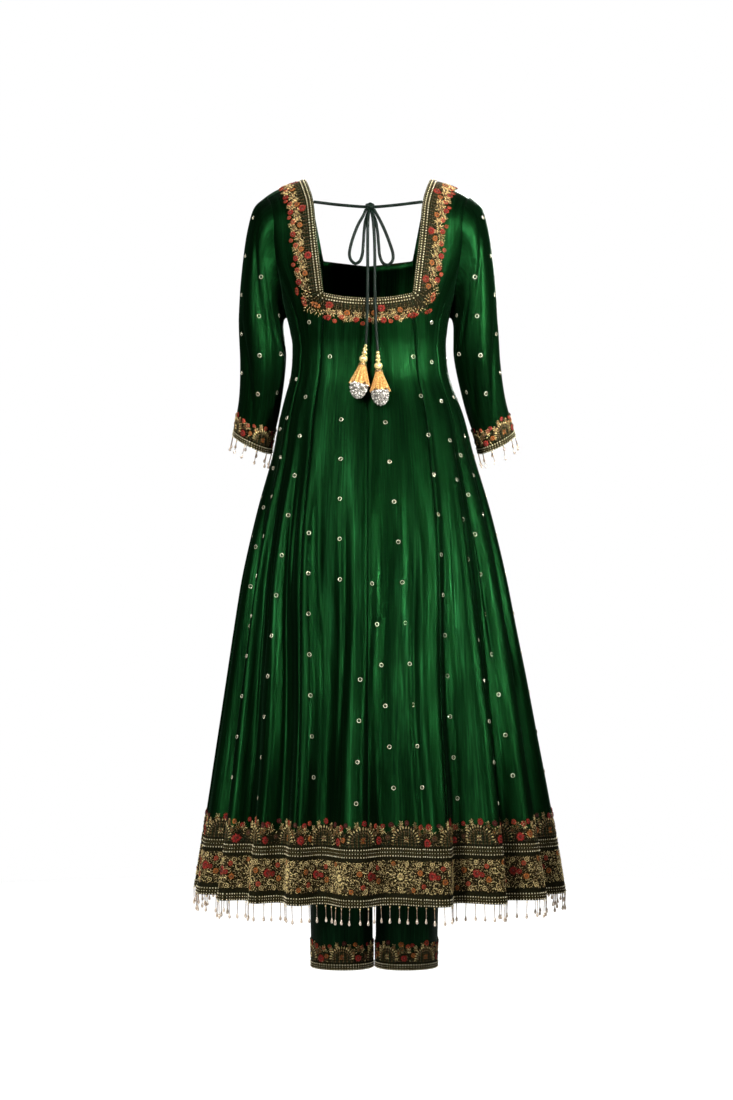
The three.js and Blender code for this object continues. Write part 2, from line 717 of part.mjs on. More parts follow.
function sleeve(name, side) {
  const rings = sleeveRings();
  add(`sleeve_${name}`, wall(toSide(rings, side), toSide(movedOut(rings, -CLOTH), side), true), SILK);
  const [above, hem] = [rings.at(-2), rings.at(-1)];
  const share = HEM_TAPE / above[0].distanceTo(hem[0]);
  const top = hem.map((p, j) => p.clone().lerp(above[j], share));
  const tapeRings = [top, hem];
  const outer = toSide(movedOut(tapeRings, TRIM_LIFT + TRIM), side);
  const inner = toSide(movedOut(tapeRings, TRIM_LIFT), side);
  const along = new THREE.Vector3(0.24 * side, 0.1, -1).normalize();
  const made = fringe(wall(outer, inner, true), outer[1], inner[1], CUFF_DROPS, 27, along);
  add(`cuff_bead_fringe_${name}`, made, GOLD_LACE);
}

// The lace round the neck opening, made from the edges of the panels it lies on.
function neckLace() {
  const stops = [];
  const onBack = PANELS.find((p) => p.name === "tunic_back_side_right");
  const onFront = PANELS.find((p) => p.name === "tunic_front_side_right");
  const centre = PANELS.find((p) => p.name === "tunic_back_centre_right");
  const frontCentre = PANELS.find((p) => p.name === "tunic_front_centre");
  const width = (panel, level, sign) => {
    const [a, b] = [onPanel(panel, 0, level), onPanel(panel, 1, level)];
    return (sign * LACE_WIDTH) / a.distanceTo(b);
  };
  const stop = (panel, across, level, wideAcross, wideLevel) =>
    stops.push([
      { panel, across, level },
      { panel, across: across + wideAcross, level: level + wideLevel },
    ]);
  for (const across of [0, 0.25, 0.5, 0.75]) stop(centre, across, backNeck(across), 0, LACE_WIDTH);
  stop(onBack, 0, NECK_BACK_CORNER, width(onBack, NECK_BACK_CORNER, 1), LACE_WIDTH);
  for (const level of [150, 113, 80, 45, 18, 4, 0]) stop(onBack, 0, level, width(onBack, level, 1), 0);
  for (const level of [4, 18, 45, 80, 113]) stop(onFront, 1, level, width(onFront, level, -1), 0);
  stop(onFront, 1, NECK_FRONT_CORNER, width(onFront, NECK_FRONT_CORNER, -1), LACE_WIDTH);
  for (const across of [0.15, 0.3, 0.4, 0.5]) stop(frontCentre, across, frontCentre.top(across), 0, LACE_WIDTH);
  const away = (s) =>
    s.level > 0
      ? panelNormal(s.panel, s.across, s.level)
      : new THREE.Vector3(SHOULDER_SLOPE, 0, 1).normalize();
  const at = (s, out) => onPanel(s.panel, s.across, s.level).addScaledVector(away(s), out);
  const flip = (p) => new THREE.Vector3(-p.x, p.y, p.z);
  const loop = (edge, out) => {
    const right = stops.map((s) => at(s[edge], out));
    const left = right.slice(1, -1).reverse().map(flip);
    return [...right, ...left];
  };
  const sheet = (out) => [loop(0, out), loop(1, out)];
  add("neck_lace", wall(sheet(NECK_LIFT + TRIM), sheet(NECK_LIFT), true), GOLD_LACE);
}

// The trousers. The inner edge of each quarter runs down the rise, under the crotch and down the inseam.
function trouserPoint(side, face, across, level) {
  const turn = across * 90 * DEGREE;
  const hip = new THREE.Vector3(
    read(HIPS, "half", level) * rounded(Math.sin(turn)),
    read(HIPS, face, level) * rounded(Math.cos(turn)),
    -level,
  );
  const legTurn = across * 180 * DEGREE;
  const leg = new THREE.Vector3(
    read(LEG, "middle", level) - read(LEG, "half", level) * rounded(Math.cos(legTurn)),
    read(LEG, face, level) * rounded(Math.sin(legTurn)),
    -level,
  );
  const share = THREE.MathUtils.smoothstep(level, CROTCH_CURVE_START, CROTCH);
  const point = hip.lerp(leg, share);
  const shift = read(SECTIONS, "shift", Math.min(level, CROTCH));
  return new THREE.Vector3(side * point.x + shift, face === "back" ? -point.y : point.y, -level);
}
function trouserNormal(side, face, across, level) {
  const [du, dl] = [0.01, 2];
  const [low, high] = [Math.max(across - du, 0), Math.min(across + du, 1)];
  const along = trouserPoint(side, face, high, level).sub(trouserPoint(side, face, low, level));
  const down = trouserPoint(side, face, across, level + dl).sub(trouserPoint(side, face, across, level - dl));
  const here = trouserPoint(side, face, across, level);
  const middle = level > CROTCH - 40 ? side * read(LEG, "middle", level) : 0;
  return outward(along, down, new THREE.Vector3(here.x - middle, here.y, 0));
}
function trouserQuarter(name, side, face) {
  const sheet = (depth) =>
    TROUSER_LEVELS.map((level) => {
      const row = [];
      for (let j = 0; j <= TROUSER_COLUMNS; j++) {
        const across = j / TROUSER_COLUMNS;
        const away = trouserNormal(side, face, across, level);
        row.push(trouserPoint(side, face, across, level).addScaledVector(away, -depth));
      }
      drawIn(row);
      return row;
    });
  add(`trouser_${face}_${name}`, wall(sheet(0), sheet(CLOTH)), SILK);
}
function legRing(side, level, out) {
  const ring = [];
  for (const face of ["back", "front"])
    for (let j = 0; j < TROUSER_COLUMNS; j++) {
      const across = (face === "back" ? j : TROUSER_COLUMNS - j) / TROUSER_COLUMNS;
      const away = trouserNormal(side, face, across, level);
      if (across === 0 || across === 1) away.set(side * (across * 2 - 1), 0, 0);
      ring.push(trouserPoint(side, face, across, level).addScaledVector(away, out));
    }
  return ring;
}
function trouserLace(name, side) {
  const levels = [TROUSER_LENGTH - LACE_WIDTH, TROUSER_LENGTH];
  const sheet = (out) => levels.map((level) => legRing(side, level, out));
  add(`trouser_hem_lace_${name}`, wall(sheet(TRIM_LIFT + TRIM), sheet(TRIM_LIFT), true), GOLD_LACE);
}
function waistband() {
  const columns = 28;
  const ring = (level, depth) => {
    const made = [];
    for (let j = 0; j < columns; j++) {
      const turn = (j * 2 * Math.PI) / columns;
      const face = Math.cos(turn) > 0 ? "back" : "front";
      made.push(
        new THREE.Vector3(
          (read(HIPS, "half", level) - depth) * rounded(Math.sin(turn)) + read(SECTIONS, "shift", level),
          -(read(HIPS, face, level) - depth) * rounded(Math.cos(turn)),
          -level,
        ),
      );
    }
    return made;
  };
  const levels = [WAISTBAND_TOP, TROUSER_TOP];
  const sheet = (depth) => levels.map((level) => ring(level, depth));
  add("trouser_waistband", wall(sheet(0), sheet(CLOTH * 1.5), true), SILK);
}

// The tie cord and its tassels.
function cord(name, route) {
  const curve = new THREE.CatmullRomCurve3(route.map((p) => new THREE.Vector3(...p)));
  const circle = new THREE.Shape();
  for (let k = 0; k < 8; k++) {
    const turn = (k * Math.PI) / 4;
    const [x, y] = [(Math.cos(turn) * CORD) / 2, (Math.sin(turn) * CORD) / 2];
    if (k) circle.lineTo(x, y);
    else circle.moveTo(x, y);
  }
  const steps = Math.round(curve.getLength() / (3 * CORD));
  const tube = new THREE.ExtrudeGeometry(circle, { steps, extrudePath: curve, bevelEnabled: false });
  add(name, tube, CORD_SATIN);
}
function knot() {
  const ball = new THREE.SphereGeometry(1, 10, 6).scale(KNOT.halfWide, KNOT.halfDeep, KNOT.halfHigh);
  add("tie_knot", ball, CORD_SATIN).position.set(KNOT.x, KNOT.y, KNOT.z);
}
function beadStack() {
  const profile = [new THREE.Vector2(0, 0)];
  for (const bead of BEAD_STACK) {
    const waist = bead.radius * 0.45;
    profile.push(new THREE.Vector2(waist, -bead.top - 0.04 * bead.high));
    profile.push(new THREE.Vector2(bead.radius, -bead.top - 0.5 * bead.high));
    profile.push(new THREE.Vector2(waist, -bead.top - 0.96 * bead.high));
  }
  const last = BEAD_STACK.at(-1);
  profile.push(new THREE.Vector2(0, -last.top - last.high));
  return new THREE.LatheGeometry(profile.reverse(), 8);
}
function pleatedBell() {
  const columns = BELL.pleats * 2;
  const rows = [0, 0.25, 0.6, 1].map((share) => {
    const radius = mix(BELL.neck, BELL.mouth, share ** 1.15);
    return Array.from({ length: columns }, (_, j) => {
      const turn = (j * 2 * Math.PI) / columns;
      const r = radius + (j % 2 ? -1 : 0) * BELL.pleatDepth * share;
      return new THREE.Vector3(r * Math.cos(turn), r * Math.sin(turn), -mix(BELL.top, BELL.bottom, share));
    });
  });
  const index = [];
  const points = [...rows.flat(), new THREE.Vector3(0, 0, -BELL.top), new THREE.Vector3(0, 0, -BELL.bottom)];
  const [topMiddle, bottomMiddle] = [points.length - 2, points.length - 1];
  for (let j = 0; j < columns; j++) {
    const next = (j + 1) % columns;
    for (let i = 0; i < rows.length - 1; i++) {
      const [a, b] = [i * columns, (i + 1) * columns];
      index.push(a + j, b + j, b + next, a + j, b + next, a + next);
    }
    const last = (rows.length - 1) * columns;
    index.push(topMiddle, j, next, bottomMiddle, last + next, last + j);
  }
  return closed(points, index);
}
function beadDome() {
  const { rows, columns, radius, high, bump, top } = BEAD_DOME;
  const points = [new THREE.Vector3(0, 0, -top)];
  const index = [];
  for (let i = 0; i < rows; i++)
    for (let j = 0; j < columns; j++) {
      const down = (i / rows) * 90 * DEGREE;
      const turn = (j * 2 * Math.PI) / columns;
      const r = (radius - ((i + j) % 2 ? bump : 0)) * Math.cos(down);
      points.push(new THREE.Vector3(r * Math.cos(turn), r * Math.sin(turn), -top - high * Math.sin(down)));
    }
  points.push(new THREE.Vector3(0, 0, -top - high));
  const end = points.length - 1;
  for (let j = 0; j < columns; j++) {
    const next = (j + 1) % columns;
    index.push(0, 1 + j, 1 + next);
    for (let i = 0; i < rows - 1; i++) {
      const [a, b] = [1 + i * columns, 1 + (i + 1) * columns];
      index.push(a + j, b + j, b + next, a + j, b + next, a + next);
    }
    const last = 1 + (rows - 1) * columns;
    index.push(end, last + next, last + j);
  }
  return closed(points, index);
}
function tassel(name, place) {
  const pieces = [
    add(`tassel_beads_${name}`, beadStack(), GOLD_LACE),
    add(`tassel_bell_${name}`, pleatedBell(), GOLD_TISSUE),
    add(`tassel_bead_dome_${name}`, beadDome(), CRYSTAL),
  ];
  for (const piece of pieces) {
    if (piece.geometry.type === "LatheGeometry") piece.geometry.rotateX(Math.PI / 2);
    piece.position.set(place.x, place.y, place.z);
    piece.rotation.set(-place.leanOut * DEGREE, -place.leanSide * DEGREE, 0);
  }
}

PANELS.forEach(tunicPanel);
const hemLaceLevels = [HEM_LACE.top, HEM_LACE.bottom];
const hemLace = wall(
  trimRings(hemLaceLevels, TRIM_LIFT + TRIM),
  trimRings(hemLaceLevels, TRIM_LIFT),
  true,
);
add("hem_lace", hemLace, GOLD_LACE);
const tapeLevels = [TUNIC_LENGTH - HEM_TAPE, TUNIC_LENGTH];
const [tapeOut, tapeIn] = [trimRings(tapeLevels, TRIM_LIFT + TRIM), trimRings(tapeLevels, TRIM_LIFT)];
const straightDown = new THREE.Vector3(0, 0, -1);
const hemFringe = fringe(wall(tapeOut, tapeIn, true), tapeOut[1], tapeIn[1], HEM_DROPS, 32, straightDown);
add("hem_bead_fringe", hemFringe, GOLD_LACE);
neckLace();
for (const [name, side] of [["right", 1], ["left", -1]]) {
  sleeve(name, side);
  trouserQuarter(name, side, "back");
  trouserQuarter(name, side, "front");
  trouserLace(name, side);
}
waistband();
cord("tie_bridge_left", BRIDGE_LEFT);
cord("tie_bridge_right", BRIDGE_RIGHT);
cord("tie_loop_left", LOOP_LEFT);
cord("tie_loop_right", LOOP_RIGHT);
cord("tie_tail_left", TAIL_LEFT);
cord("tie_tail_right", TAIL_RIGHT);
knot();
tassel("left", TASSELS.left);
tassel("right", TASSELS.right);

export default suit;
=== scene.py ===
"""A flared silk tunic and straight trousers, seen from the back as worn: cloth, borders, beads, tie and tassels."""

import math

import bmesh
import bpy
import numpy as np
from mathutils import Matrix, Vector


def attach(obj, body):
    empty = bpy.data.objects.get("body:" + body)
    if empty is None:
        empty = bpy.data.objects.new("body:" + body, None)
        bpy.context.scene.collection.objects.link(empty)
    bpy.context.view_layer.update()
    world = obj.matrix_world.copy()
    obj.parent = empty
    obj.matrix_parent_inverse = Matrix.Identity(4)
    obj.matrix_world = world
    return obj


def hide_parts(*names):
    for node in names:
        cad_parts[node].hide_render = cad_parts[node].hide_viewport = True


bl_info = {
    "name": "Kali Tunic and Trousers",
    "version": (1, 0, 0),
    "blender": (4, 5, 0),
    "location": "3D View > Sidebar > Suit",
    "description": "Builds a green silk kali tunic with trousers, embroidered borders and a tasselled tie",
    "category": "Object",
}

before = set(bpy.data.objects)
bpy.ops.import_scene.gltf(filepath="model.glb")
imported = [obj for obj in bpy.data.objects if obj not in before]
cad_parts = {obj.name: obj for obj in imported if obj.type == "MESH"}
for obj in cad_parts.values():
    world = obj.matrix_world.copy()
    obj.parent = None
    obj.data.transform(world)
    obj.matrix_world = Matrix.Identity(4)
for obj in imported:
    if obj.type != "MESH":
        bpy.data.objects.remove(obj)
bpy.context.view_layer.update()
MM = 0.001


def table(columns, *rows):
    """A table of numbers with named columns."""
    names = columns.split()
    return {name: np.array([row[k] for row in rows], float) for k, name in enumerate(names)}


# Sizes in millimetres; a level is a depth below the shoulder seams.
HEM = 1217
SHOULDER_CURVE = 113
# powers of the curve over the shoulder, and of a section round the body
SHOULDER_BEND, SQUARENESS = (2.3, 1.8), 2.2
# the folds grow a little later than the CAD's, which follow a power of 0.85
FOLDS_START, VISIBLE_GROWTH = 385, 1.1
NECK_POINT, SHOULDER_TIP = 107, 176
SHOULDER_SLOPE, SHOULDER_DROP = 0.265, 11
NECK_BACK_DEPTH, NECK_BACK_CORNER = 211, 201
NECK_FRONT_DEPTH, NECK_FRONT_CORNER = 138, 130
ARMPIT, KALI_CORNER = 237, 150
HEM_LACE_TOP, HEM_LACE_BOTTOM, HEM_TAPE = 1123, 1139, 13
WAISTBAND_TOP, TROUSER_TOP, TROUSER_HEM = 386, 420, 1352
CROTCH_CURVE_START, CROTCH = 520, 655
HEM_RADIUS = 300
LAST_RING = 9  # of the sleeve, at its edge
# walls of the cloth as it shows, thinner than the CAD's
SILK_WALL, WAISTBAND_WALL, LACE_WALL, TISSUE_WALL, COLLAR_WALL = 1.1, 2.2, 0.7, 0.5, 0.6
# how far a fold strays on its way down, in degrees, and how much deeper the creases are than their table says
FOLD_WANDER, CREASE_SWELL = 1.3, 1.9
# levels between which the creases come in
CREASES_GROW = (420, 760)
# a pressed seam: how deep it sinks, and how far from the edge that reaches
SEAM_DEEP, SEAM_WIDE = 2.8, 1.3
# how far the stitches, and the near-black cloth under them that also stands in for painted shade between them, stand
# off the silk
STITCH_LIFT, GROUND_LIFT = 0.7, 0.8
HEM_DROPS, CUFF_DROPS = 150, 12
# one repeat of the neck's garland, and the pitch of the upright strokes, along the edge
NECK_REPEAT, STROKE_PITCH = 41, 2.3
# widths of the beaded bands
NECK_LACE_WIDE, TAPE_WIDE = 12, 11

SECTIONS = table(
    "level half shift back front",
    (0, 192, 0, 98, 104),
    (60, 188, 0, 98, 104),
    (113, 181, 0, 99, 106),
    (150, 171, 0, 103, 122),
    (180, 159.5, 0, 104, 132),
    (210, 148, 0, 103, 139),
    (237, 140, 0, 101, 141),
    (262, 135, 1, 98, 137),
    (290, 132, 2, 95, 124),
    (337, 136, 3, 97, 116),
    (375, 148, 5, 107, 121),
    (411, 159, 7, 120, 132),
    (475, 173, 9, 143, 152),
    (568, 199, 10, 172, 178),
    (679, 224, 11, 199, 203),
    (774, 240, 13, 217, 221),
    (877, 257, 16, 234, 237),
    (1084, 290, 20, 264, 266),
    (1217, 310, 21, 283, 284),
)
SEAMS = table(
    "level princess frontPrincess sideBack",
    (113, 24, 22, 65),
    (150, 26, 26, 64.1),
    (201, 28, 29, 63),
    (240, 32, 32, 62),
    (290, 36.5, 36.5, 61),
    (400, 36, 36, 60),
    (570, 31.5, 31.5, 55),
    (900, 24, 24, 49),
    (1217, 21.4, 21.4, 46),
)
NECK_BACK = table("level x", (0, 107), (20, 100), (45, 93), (80, 89), (120, 85), (201, 75))
NECK_FRONT = table("level x", (0, 107), (20, 101), (50, 94), (90, 86), (130, 78))
ARMHOLE = table(
    "level x",
    (0, 176), (20, 168), (45, 163), (75, 160.5), (113, 160), (147, 156), (180, 150.3), (210, 145.8), (237, 140),
)
FOLDS = table(
    "crest out hollow dip",
    (-170, 16, -161, 20), (-152, 17, -143, 22), (-133, 14, -124, 20), (-114, 15, -105, 18),
    (-95, 11, -86, 14), (-76, 10, -62, 26), (-53, 20, -46, 12), (-39, 14, -32, 20),
    (-25, 11, -17, 26), (-7, 19, 3, 22), (15, 19, 25, 30), (35, 17, 43, 24),
    (54, 14, 65, 20), (76, 10, 87, 14), (97, 11, 106, 18), (115, 15, 124, 20),
    (133, 14, 142, 22), (151, 17, 160, 20), (170, 16, 180, 18),
)
SLEEVE = table(
    "ring outX outZ inX inZ mid deep dip armhole",
    (0, 176, -29, 140, -237, 2, 58, 0, 1),
    (1, 196, -48, 143, -239, 2, 58, 0, 0.8),
    (2, 207, -85, 145, -244, 1, 57, 0, 0.5),
    (3, 214, -130, 146, -254, 0, 55, 0, 0.25),
    (4, 220, -190, 145, -274, -1, 53, 0, 0.08),
    (5, 223, -255, 144, -305, -1, 51, 0, 0),
    (6, 224, -315, 150, -348, 4, 49, 2, 0),
    (7, 229, -370, 161, -400, 15, 47, 4, 0),
    (8, 238, -412, 173, -442, 28, 46, 7, 0),
    (9, 244, -438, 179, -469, 37, 46, 8, 0),
)
SLEEVE_LEAN = {"start": -240, "end": -469, "by": 12}
HIPS = table(
    "level half back front",
    (386, 128, 92, 98), (420, 136, 100, 102), (480, 154, 118, 108),
    (530, 164, 126, 110), (580, 169, 126, 108), (655, 168, 112, 100),
)
LEG = table(
    "level middle half back front",
    (500, 86, 84, 112, 100), (655, 85, 82, 108, 96), (720, 83, 79, 99, 90), (820, 78, 71, 86, 82),
    (950, 70, 61, 72, 70), (1100, 62, 56, 62, 60), (1230, 57, 54, 58, 56), (1352, 55, 53, 55, 54),
)

# Creases the CAD leaves out: along which direction of the hem, between which levels, how wide and how deep.
SKIRT_CREASES = table(
    "at drift top bottom wide depth",
    (-21, -3, 400, 800, 2.2, 3.5), (-12, -2, 390, 1180, 1.6, 3), (-2, 0, 470, 1100, 1.4, 2.5),
    (8, 1, 400, 900, 1.8, 3), (12, 3, 520, 1217, 1.5, 3.5), (20, 3, 400, 760, 2, 4),
    (30, 2, 410, 1000, 1.8, 3), (39, 3, 430, 1217, 1.6, 4), (48, 2, 450, 900, 2, 3),
    (60, 2, 480, 1217, 2.4, 4), (70, 2, 430, 900, 2.2, 3), (82, 1, 500, 1217, 2, 3),
    (-31, -4, 400, 760, 1.8, 3.5), (-36, -3, 420, 1217, 1.5, 4), (-43, -3, 430, 900, 2, 3),
    (-50, -2, 520, 1217, 1.4, 3.5), (-57, -2, 450, 1000, 2.2, 4), (-68, -2, 480, 1217, 2, 4),
    (-80, -1, 500, 1100, 2.2, 3), (-91, 0, 450, 1217, 2, 3), (-101, 0, 520, 1000, 2, 3),
    (-119, 0, 430, 1217, 2, 3.5), (-138, 0, 450, 1000, 2, 3), (-157, 0, 430, 1217, 2, 3.5),
    (176, 0, 450, 1000, 2, 3), (156, 0, 430, 1217, 2, 3.5), (138, 0, 450, 1000, 2, 3),
    (119, 0, 430, 1217, 2, 3.5), (101, 0, 520, 1000, 2, 3), (92, 0, 450, 1217, 2, 3),
)
# Columns of ring sequins: the direction of the hem that each starts and ends over, and its levels.
BUTTI_COLUMNS = table(
    "first last top bottom",
    (2, 12, 422, 1060), (16, 26, 309, 1060), (34, 38, 250, 1060), (46, 50, 476, 1060), (62, 64, 375, 1060),
    (78, 78, 476, 1060), (-2, 4, 692, 1060), (-5, -6, 849, 1060), (-12, -11, 417, 720), (-22, -20, 608, 1070),
    (-33, -42, 377, 1060), (-19, -20, 309, 340), (-34, -35, 250, 270), (-52, -54, 345, 1060), (-68, -66, 430, 1060),
    (-82, -80, 345, 1060), (94, 92, 309, 1060), (108, 106, 412, 1060), (122, 120, 309, 1060), (136, 134, 412, 1060),
    (150, 148, 309, 1060), (164, 162, 412, 1060), (178, 178, 309, 1060), (192, 194, 412, 1060), (206, 208, 309, 1060),
    (220, 222, 412, 1060), (234, 236, 309, 1060), (248, 250, 412, 1060), (262, 264, 309, 1060),
)
# Small pulls in the bodice: where each starts and ends, as a distance from the centre and a level.
BODICE_PULLS = table(
    "x1 level1 x2 level2 wide depth",
    (140, 225, 104, 262, 7, 1.6), (138, 245, 98, 292, 7, 1.5), (134, 270, 100, 318, 8, 1.3),
    (-140, 225, -104, 262, 7, 1.6), (-138, 245, -98, 292, 7, 1.5), (-134, 270, -100, 318, 8, 1.3),
    (70, 262, 66, 345, 8, 1.2), (-66, 262, -62, 345, 8, 1.2), (28, 265, 26, 350, 9, 0.9),
    (-30, 265, -28, 350, 9, 0.9), (112, 316, 118, 380, 9, 1.4), (-108, 316, -112, 380, 9, 1.4),
)
# Soft slanting folds of a sleeve, in degrees round the arm and in rings down it.
SLEEVE_FOLDS = table(
    "start end top bottom wide depth",
    (60, 130, 2, 7, 20, 4), (105, 165, 3, 8, 18, 3.5), (300, 230, 2, 7, 20, 4), (20, 75, 4, 8, 20, 3),
    (40, 100, 1.2, 4.5, 9, 3), (82, 150, 1.6, 5.5, 8, 3), (120, 172, 2.4, 5.4, 8, 2.6),
    (25, 95, 4.6, 8.2, 9, 2.6), (95, 150, 5, 8.6, 9, 2.4), (70, 112, 5.8, 8.4, 7, 1.8),
    (320, 262, 1.4, 5.2, 9, 2.8), (280, 215, 2.2, 6, 9, 2.6), (335, 290, 4.4, 8, 9, 2.4),
)


def mix(a, b, t):
    return a + (b - a) * t


def smooth(a, b, x):
    t = np.clip((x - a) / (b - a), 0, 1)
    return t * t * (3 - 2 * t)


def read(data, column, at, key="level"):
    """A column of a table at some levels, on a smooth curve through the rows."""
    where_to, values = data[key], data[column]
    last = len(where_to) - 1
    at = np.clip(np.asarray(at, float), where_to[0], where_to[last])
    k = np.clip(np.searchsorted(where_to, at, side="left"), 1, last)
    low, high = np.maximum(np.arange(last + 1) - 1, 0), np.minimum(np.arange(last + 1) + 1, last)
    slope = (values[high] - values[low]) / (where_to[high] - where_to[low])
    span = where_to[k] - where_to[k - 1]
    t = (at - where_to[k - 1]) / span
    return (
        values[k - 1] * (1 + 2 * t) * (1 - t) ** 2
        + slope[k - 1] * span * t * (1 - t) ** 2
        + values[k] * t * t * (3 - 2 * t)
        + slope[k] * span * t * t * (t - 1)
    )


def rounded(value):
    return np.sign(value) * np.abs(value) ** (2 / SQUARENESS)


def shoulder_height(x):
    out = np.abs(x) - NECK_POINT
    share = np.maximum(0, out / (SHOULDER_TIP - NECK_POINT))
    return -SHOULDER_SLOPE * out - SHOULDER_DROP * share**3


def tunic_point(angle, level, fold=0.0):
    """The tunic's outer face, from its direction round the body, its level and its fold."""
    angle, level = np.broadcast_arrays(np.asarray(angle, float), np.asarray(level, float))
    s, c = np.sin(np.radians(angle)), np.cos(np.radians(angle))
    low = np.maximum(level, SHOULDER_CURVE)
    depth = np.where(c > 0, read(SECTIONS, "back", low), read(SECTIONS, "front", low))
    x = read(SECTIONS, "shift", level) + read(SECTIONS, "half", level) * rounded(s) + s * fold
    y = -rounded(c) * depth - c * fold
    up = np.clip(1 - level / SHOULDER_CURVE, 0, 1)
    bend = np.maximum(0, 1 - up ** SHOULDER_BEND[0]) ** (1 / SHOULDER_BEND[1])
    z = np.where(level < SHOULDER_CURVE, mix(-SHOULDER_CURVE, shoulder_height(x), up), -level)
    return np.stack([x, np.where(level < SHOULDER_CURVE, y * bend, y), z], -1)


def angle_at(x, level):
    share = np.clip(x / read(SECTIONS, "half", level), 0, 1)
    return np.degrees(np.arcsin(share ** (SQUARENESS / 2)))


def armhole_angle(level):
    return angle_at(read(ARMHOLE, "x", level), level)


def armhole_level(angle):
    low, high = np.full(np.shape(angle), KALI_CORNER, float), np.full(np.shape(angle), ARMPIT, float)
    for _ in range(30):
        half = (low + high) / 2
        above = armhole_angle(half) < angle
        low, high = np.where(above, half, low), np.where(above, high, half)
    return high


def centre_back(level):
    return -angle_at(read(SECTIONS, "shift", level), level)


def seam(name):
    return lambda level: read(SEAMS, name, level)


princess, front_princess, side_back = seam("princess"), seam("frontPrincess"), seam("sideBack")


def fold_at(angle):
    stops = np.ravel(np.column_stack([FOLDS["crest"], FOLDS["hollow"]]))
    outs = np.ravel(np.column_stack([FOLDS["out"], -FOLDS["dip"]]))
    stops = np.concatenate([[stops[-1] - 360], stops, [stops[0] + 360]])
    outs = np.concatenate([[outs[-1]], outs, [outs[0]]])
    around = (np.asarray(angle, float) + 180) % 360 - 180
    k = np.clip(np.searchsorted(stops, around, side="right"), 1, len(stops) - 1)
    t = (around - stops[k - 1]) / (stops[k] - stops[k - 1])
    # a pressed fold rises gently on one side and drops steeply on the other
    t = np.where(outs[k] < outs[k - 1], np.clip((t - 0.22) / 0.62, 0, 1), t)
    t = (1 - np.cos(np.pi * t)) / 2
    return mix(outs[k - 1], outs[k], t)


def wander(hem_angle, level):
    """How far a fold strays sideways on its way down, in degrees; nothing at the hem."""
    share = np.clip((level - FOLDS_START) / (HEM - FOLDS_START), 0, 1)
    return FOLD_WANDER * np.sin(np.pi * share) * np.sin(level / 130 + hem_angle / 11)


def fold_share(level):
    return np.maximum(0, (level - FOLDS_START) / (HEM - FOLDS_START)) ** VISIBLE_GROWTH


def creases(hem_angle, level):
    """Fine creases of the skirt; they fade in and out, and swell a little beside each hollow."""
    around = (hem_angle + wander(hem_angle, level) + 180) % 360 - 180
    depth = np.zeros(np.broadcast(around, level).shape)
    for at, drift, top, bottom, wide, deep in zip(*SKIRT_CREASES.values()):
        share = np.clip((level - top) / (bottom - top), 0, 1)
        centre = at - drift * (1 - share)
        off = (around - centre + 180) % 360 - 180
        off = off / wide
        ends = smooth(0, 0.25, share) * (1 if bottom >= HEM else 1 - smooth(0.6, 1, share))
        ends = ends * smooth(*CREASES_GROW, level)
        # steep on the side away from the light
        off = off * np.where(off > 0, 0.8, 1.5)
        depth -= CREASE_SWELL * deep * ends * (1 - 0.4 * off**2) * np.exp(-(off**2))
    return depth


def pulls(x, level):
    depth = np.zeros(np.broadcast(x, level).shape)
    for x1, l1, x2, l2, wide, deep in zip(*BODICE_PULLS.values()):
        along = np.array([x2 - x1, l2 - l1])
        size = np.hypot(*along)
        t = ((x - x1) * along[0] + (level - l1) * along[1]) / size**2
        off = ((x - x1) * along[1] - (level - l1) * along[0]) / size / wide
        depth -= deep * np.exp(-((t - 0.5) ** 2) * 6) * (1 - off**2) * np.exp(-(off**2))
    return depth


# The tunic's panels, round from the left front. Each edge is a direction at a level, and each top a level across.
def neck_or(data, corner, other):
    return lambda l: np.where(l < corner, angle_at(read(data, "x", l), l), other(l))


beside_back = neck_or(NECK_BACK, NECK_BACK_CORNER, princess)
beside_front = neck_or(NECK_FRONT, NECK_FRONT_CORNER, front_princess)


def armhole_or(level):
    return np.where(level < KALI_CORNER, armhole_angle(level), side_back(level))


def back_neck(u):
    return NECK_BACK_DEPTH - (NECK_BACK_DEPTH - NECK_BACK_CORNER) * u**2


def front_neck(u):
    return NECK_FRONT_DEPTH - (NECK_FRONT_DEPTH - NECK_FRONT_CORNER) * (2 * u - 1) ** 2


def under_arm(u):
    return armhole_level(mix(side_back(KALI_CORNER), 90, u))


def level_top(u):
    return 0 * u


def left_of(edge, share=1.0):
    """An edge to the left of the centre back, which drifts with the body, by a share, as it goes down."""
    return lambda l: centre_back(l) * share - edge(l)


def right_of(edge, share=1.0):
    return lambda l: centre_back(l) * share + edge(l)


PANELS = [
    ("tunic_front_side_left", lambda l: beside_front(l) - 180, lambda l: armhole_or(l) - 180, level_top),
    ("tunic_front_kali_left", lambda l: side_back(l) - 180, lambda l: 0 * l - 90, under_arm),
    ("tunic_back_kali_left", lambda l: 0 * l - 90, left_of(side_back, 0.5), lambda u: under_arm(1 - u)),
    ("tunic_back_side_left", left_of(armhole_or, 0.5), left_of(beside_back), level_top),
    ("tunic_back_centre_left", left_of(princess), centre_back, lambda u: back_neck(1 - u)),
    ("tunic_back_centre_right", centre_back, right_of(princess), back_neck),
    ("tunic_back_side_right", right_of(beside_back), right_of(armhole_or, 0.5), level_top),
    ("tunic_back_kali_right", right_of(side_back, 0.5), lambda l: 0 * l + 90, under_arm),
    ("tunic_front_kali_right", lambda l: 0 * l + 90, lambda l: 180 - side_back(l), lambda u: under_arm(1 - u)),
    ("tunic_front_side_right", lambda l: 180 - armhole_or(l), lambda l: 180 - beside_front(l), level_top),
    ("tunic_front_centre", lambda l: 180 - front_princess(l), lambda l: 180 + front_princess(l), front_neck),
]


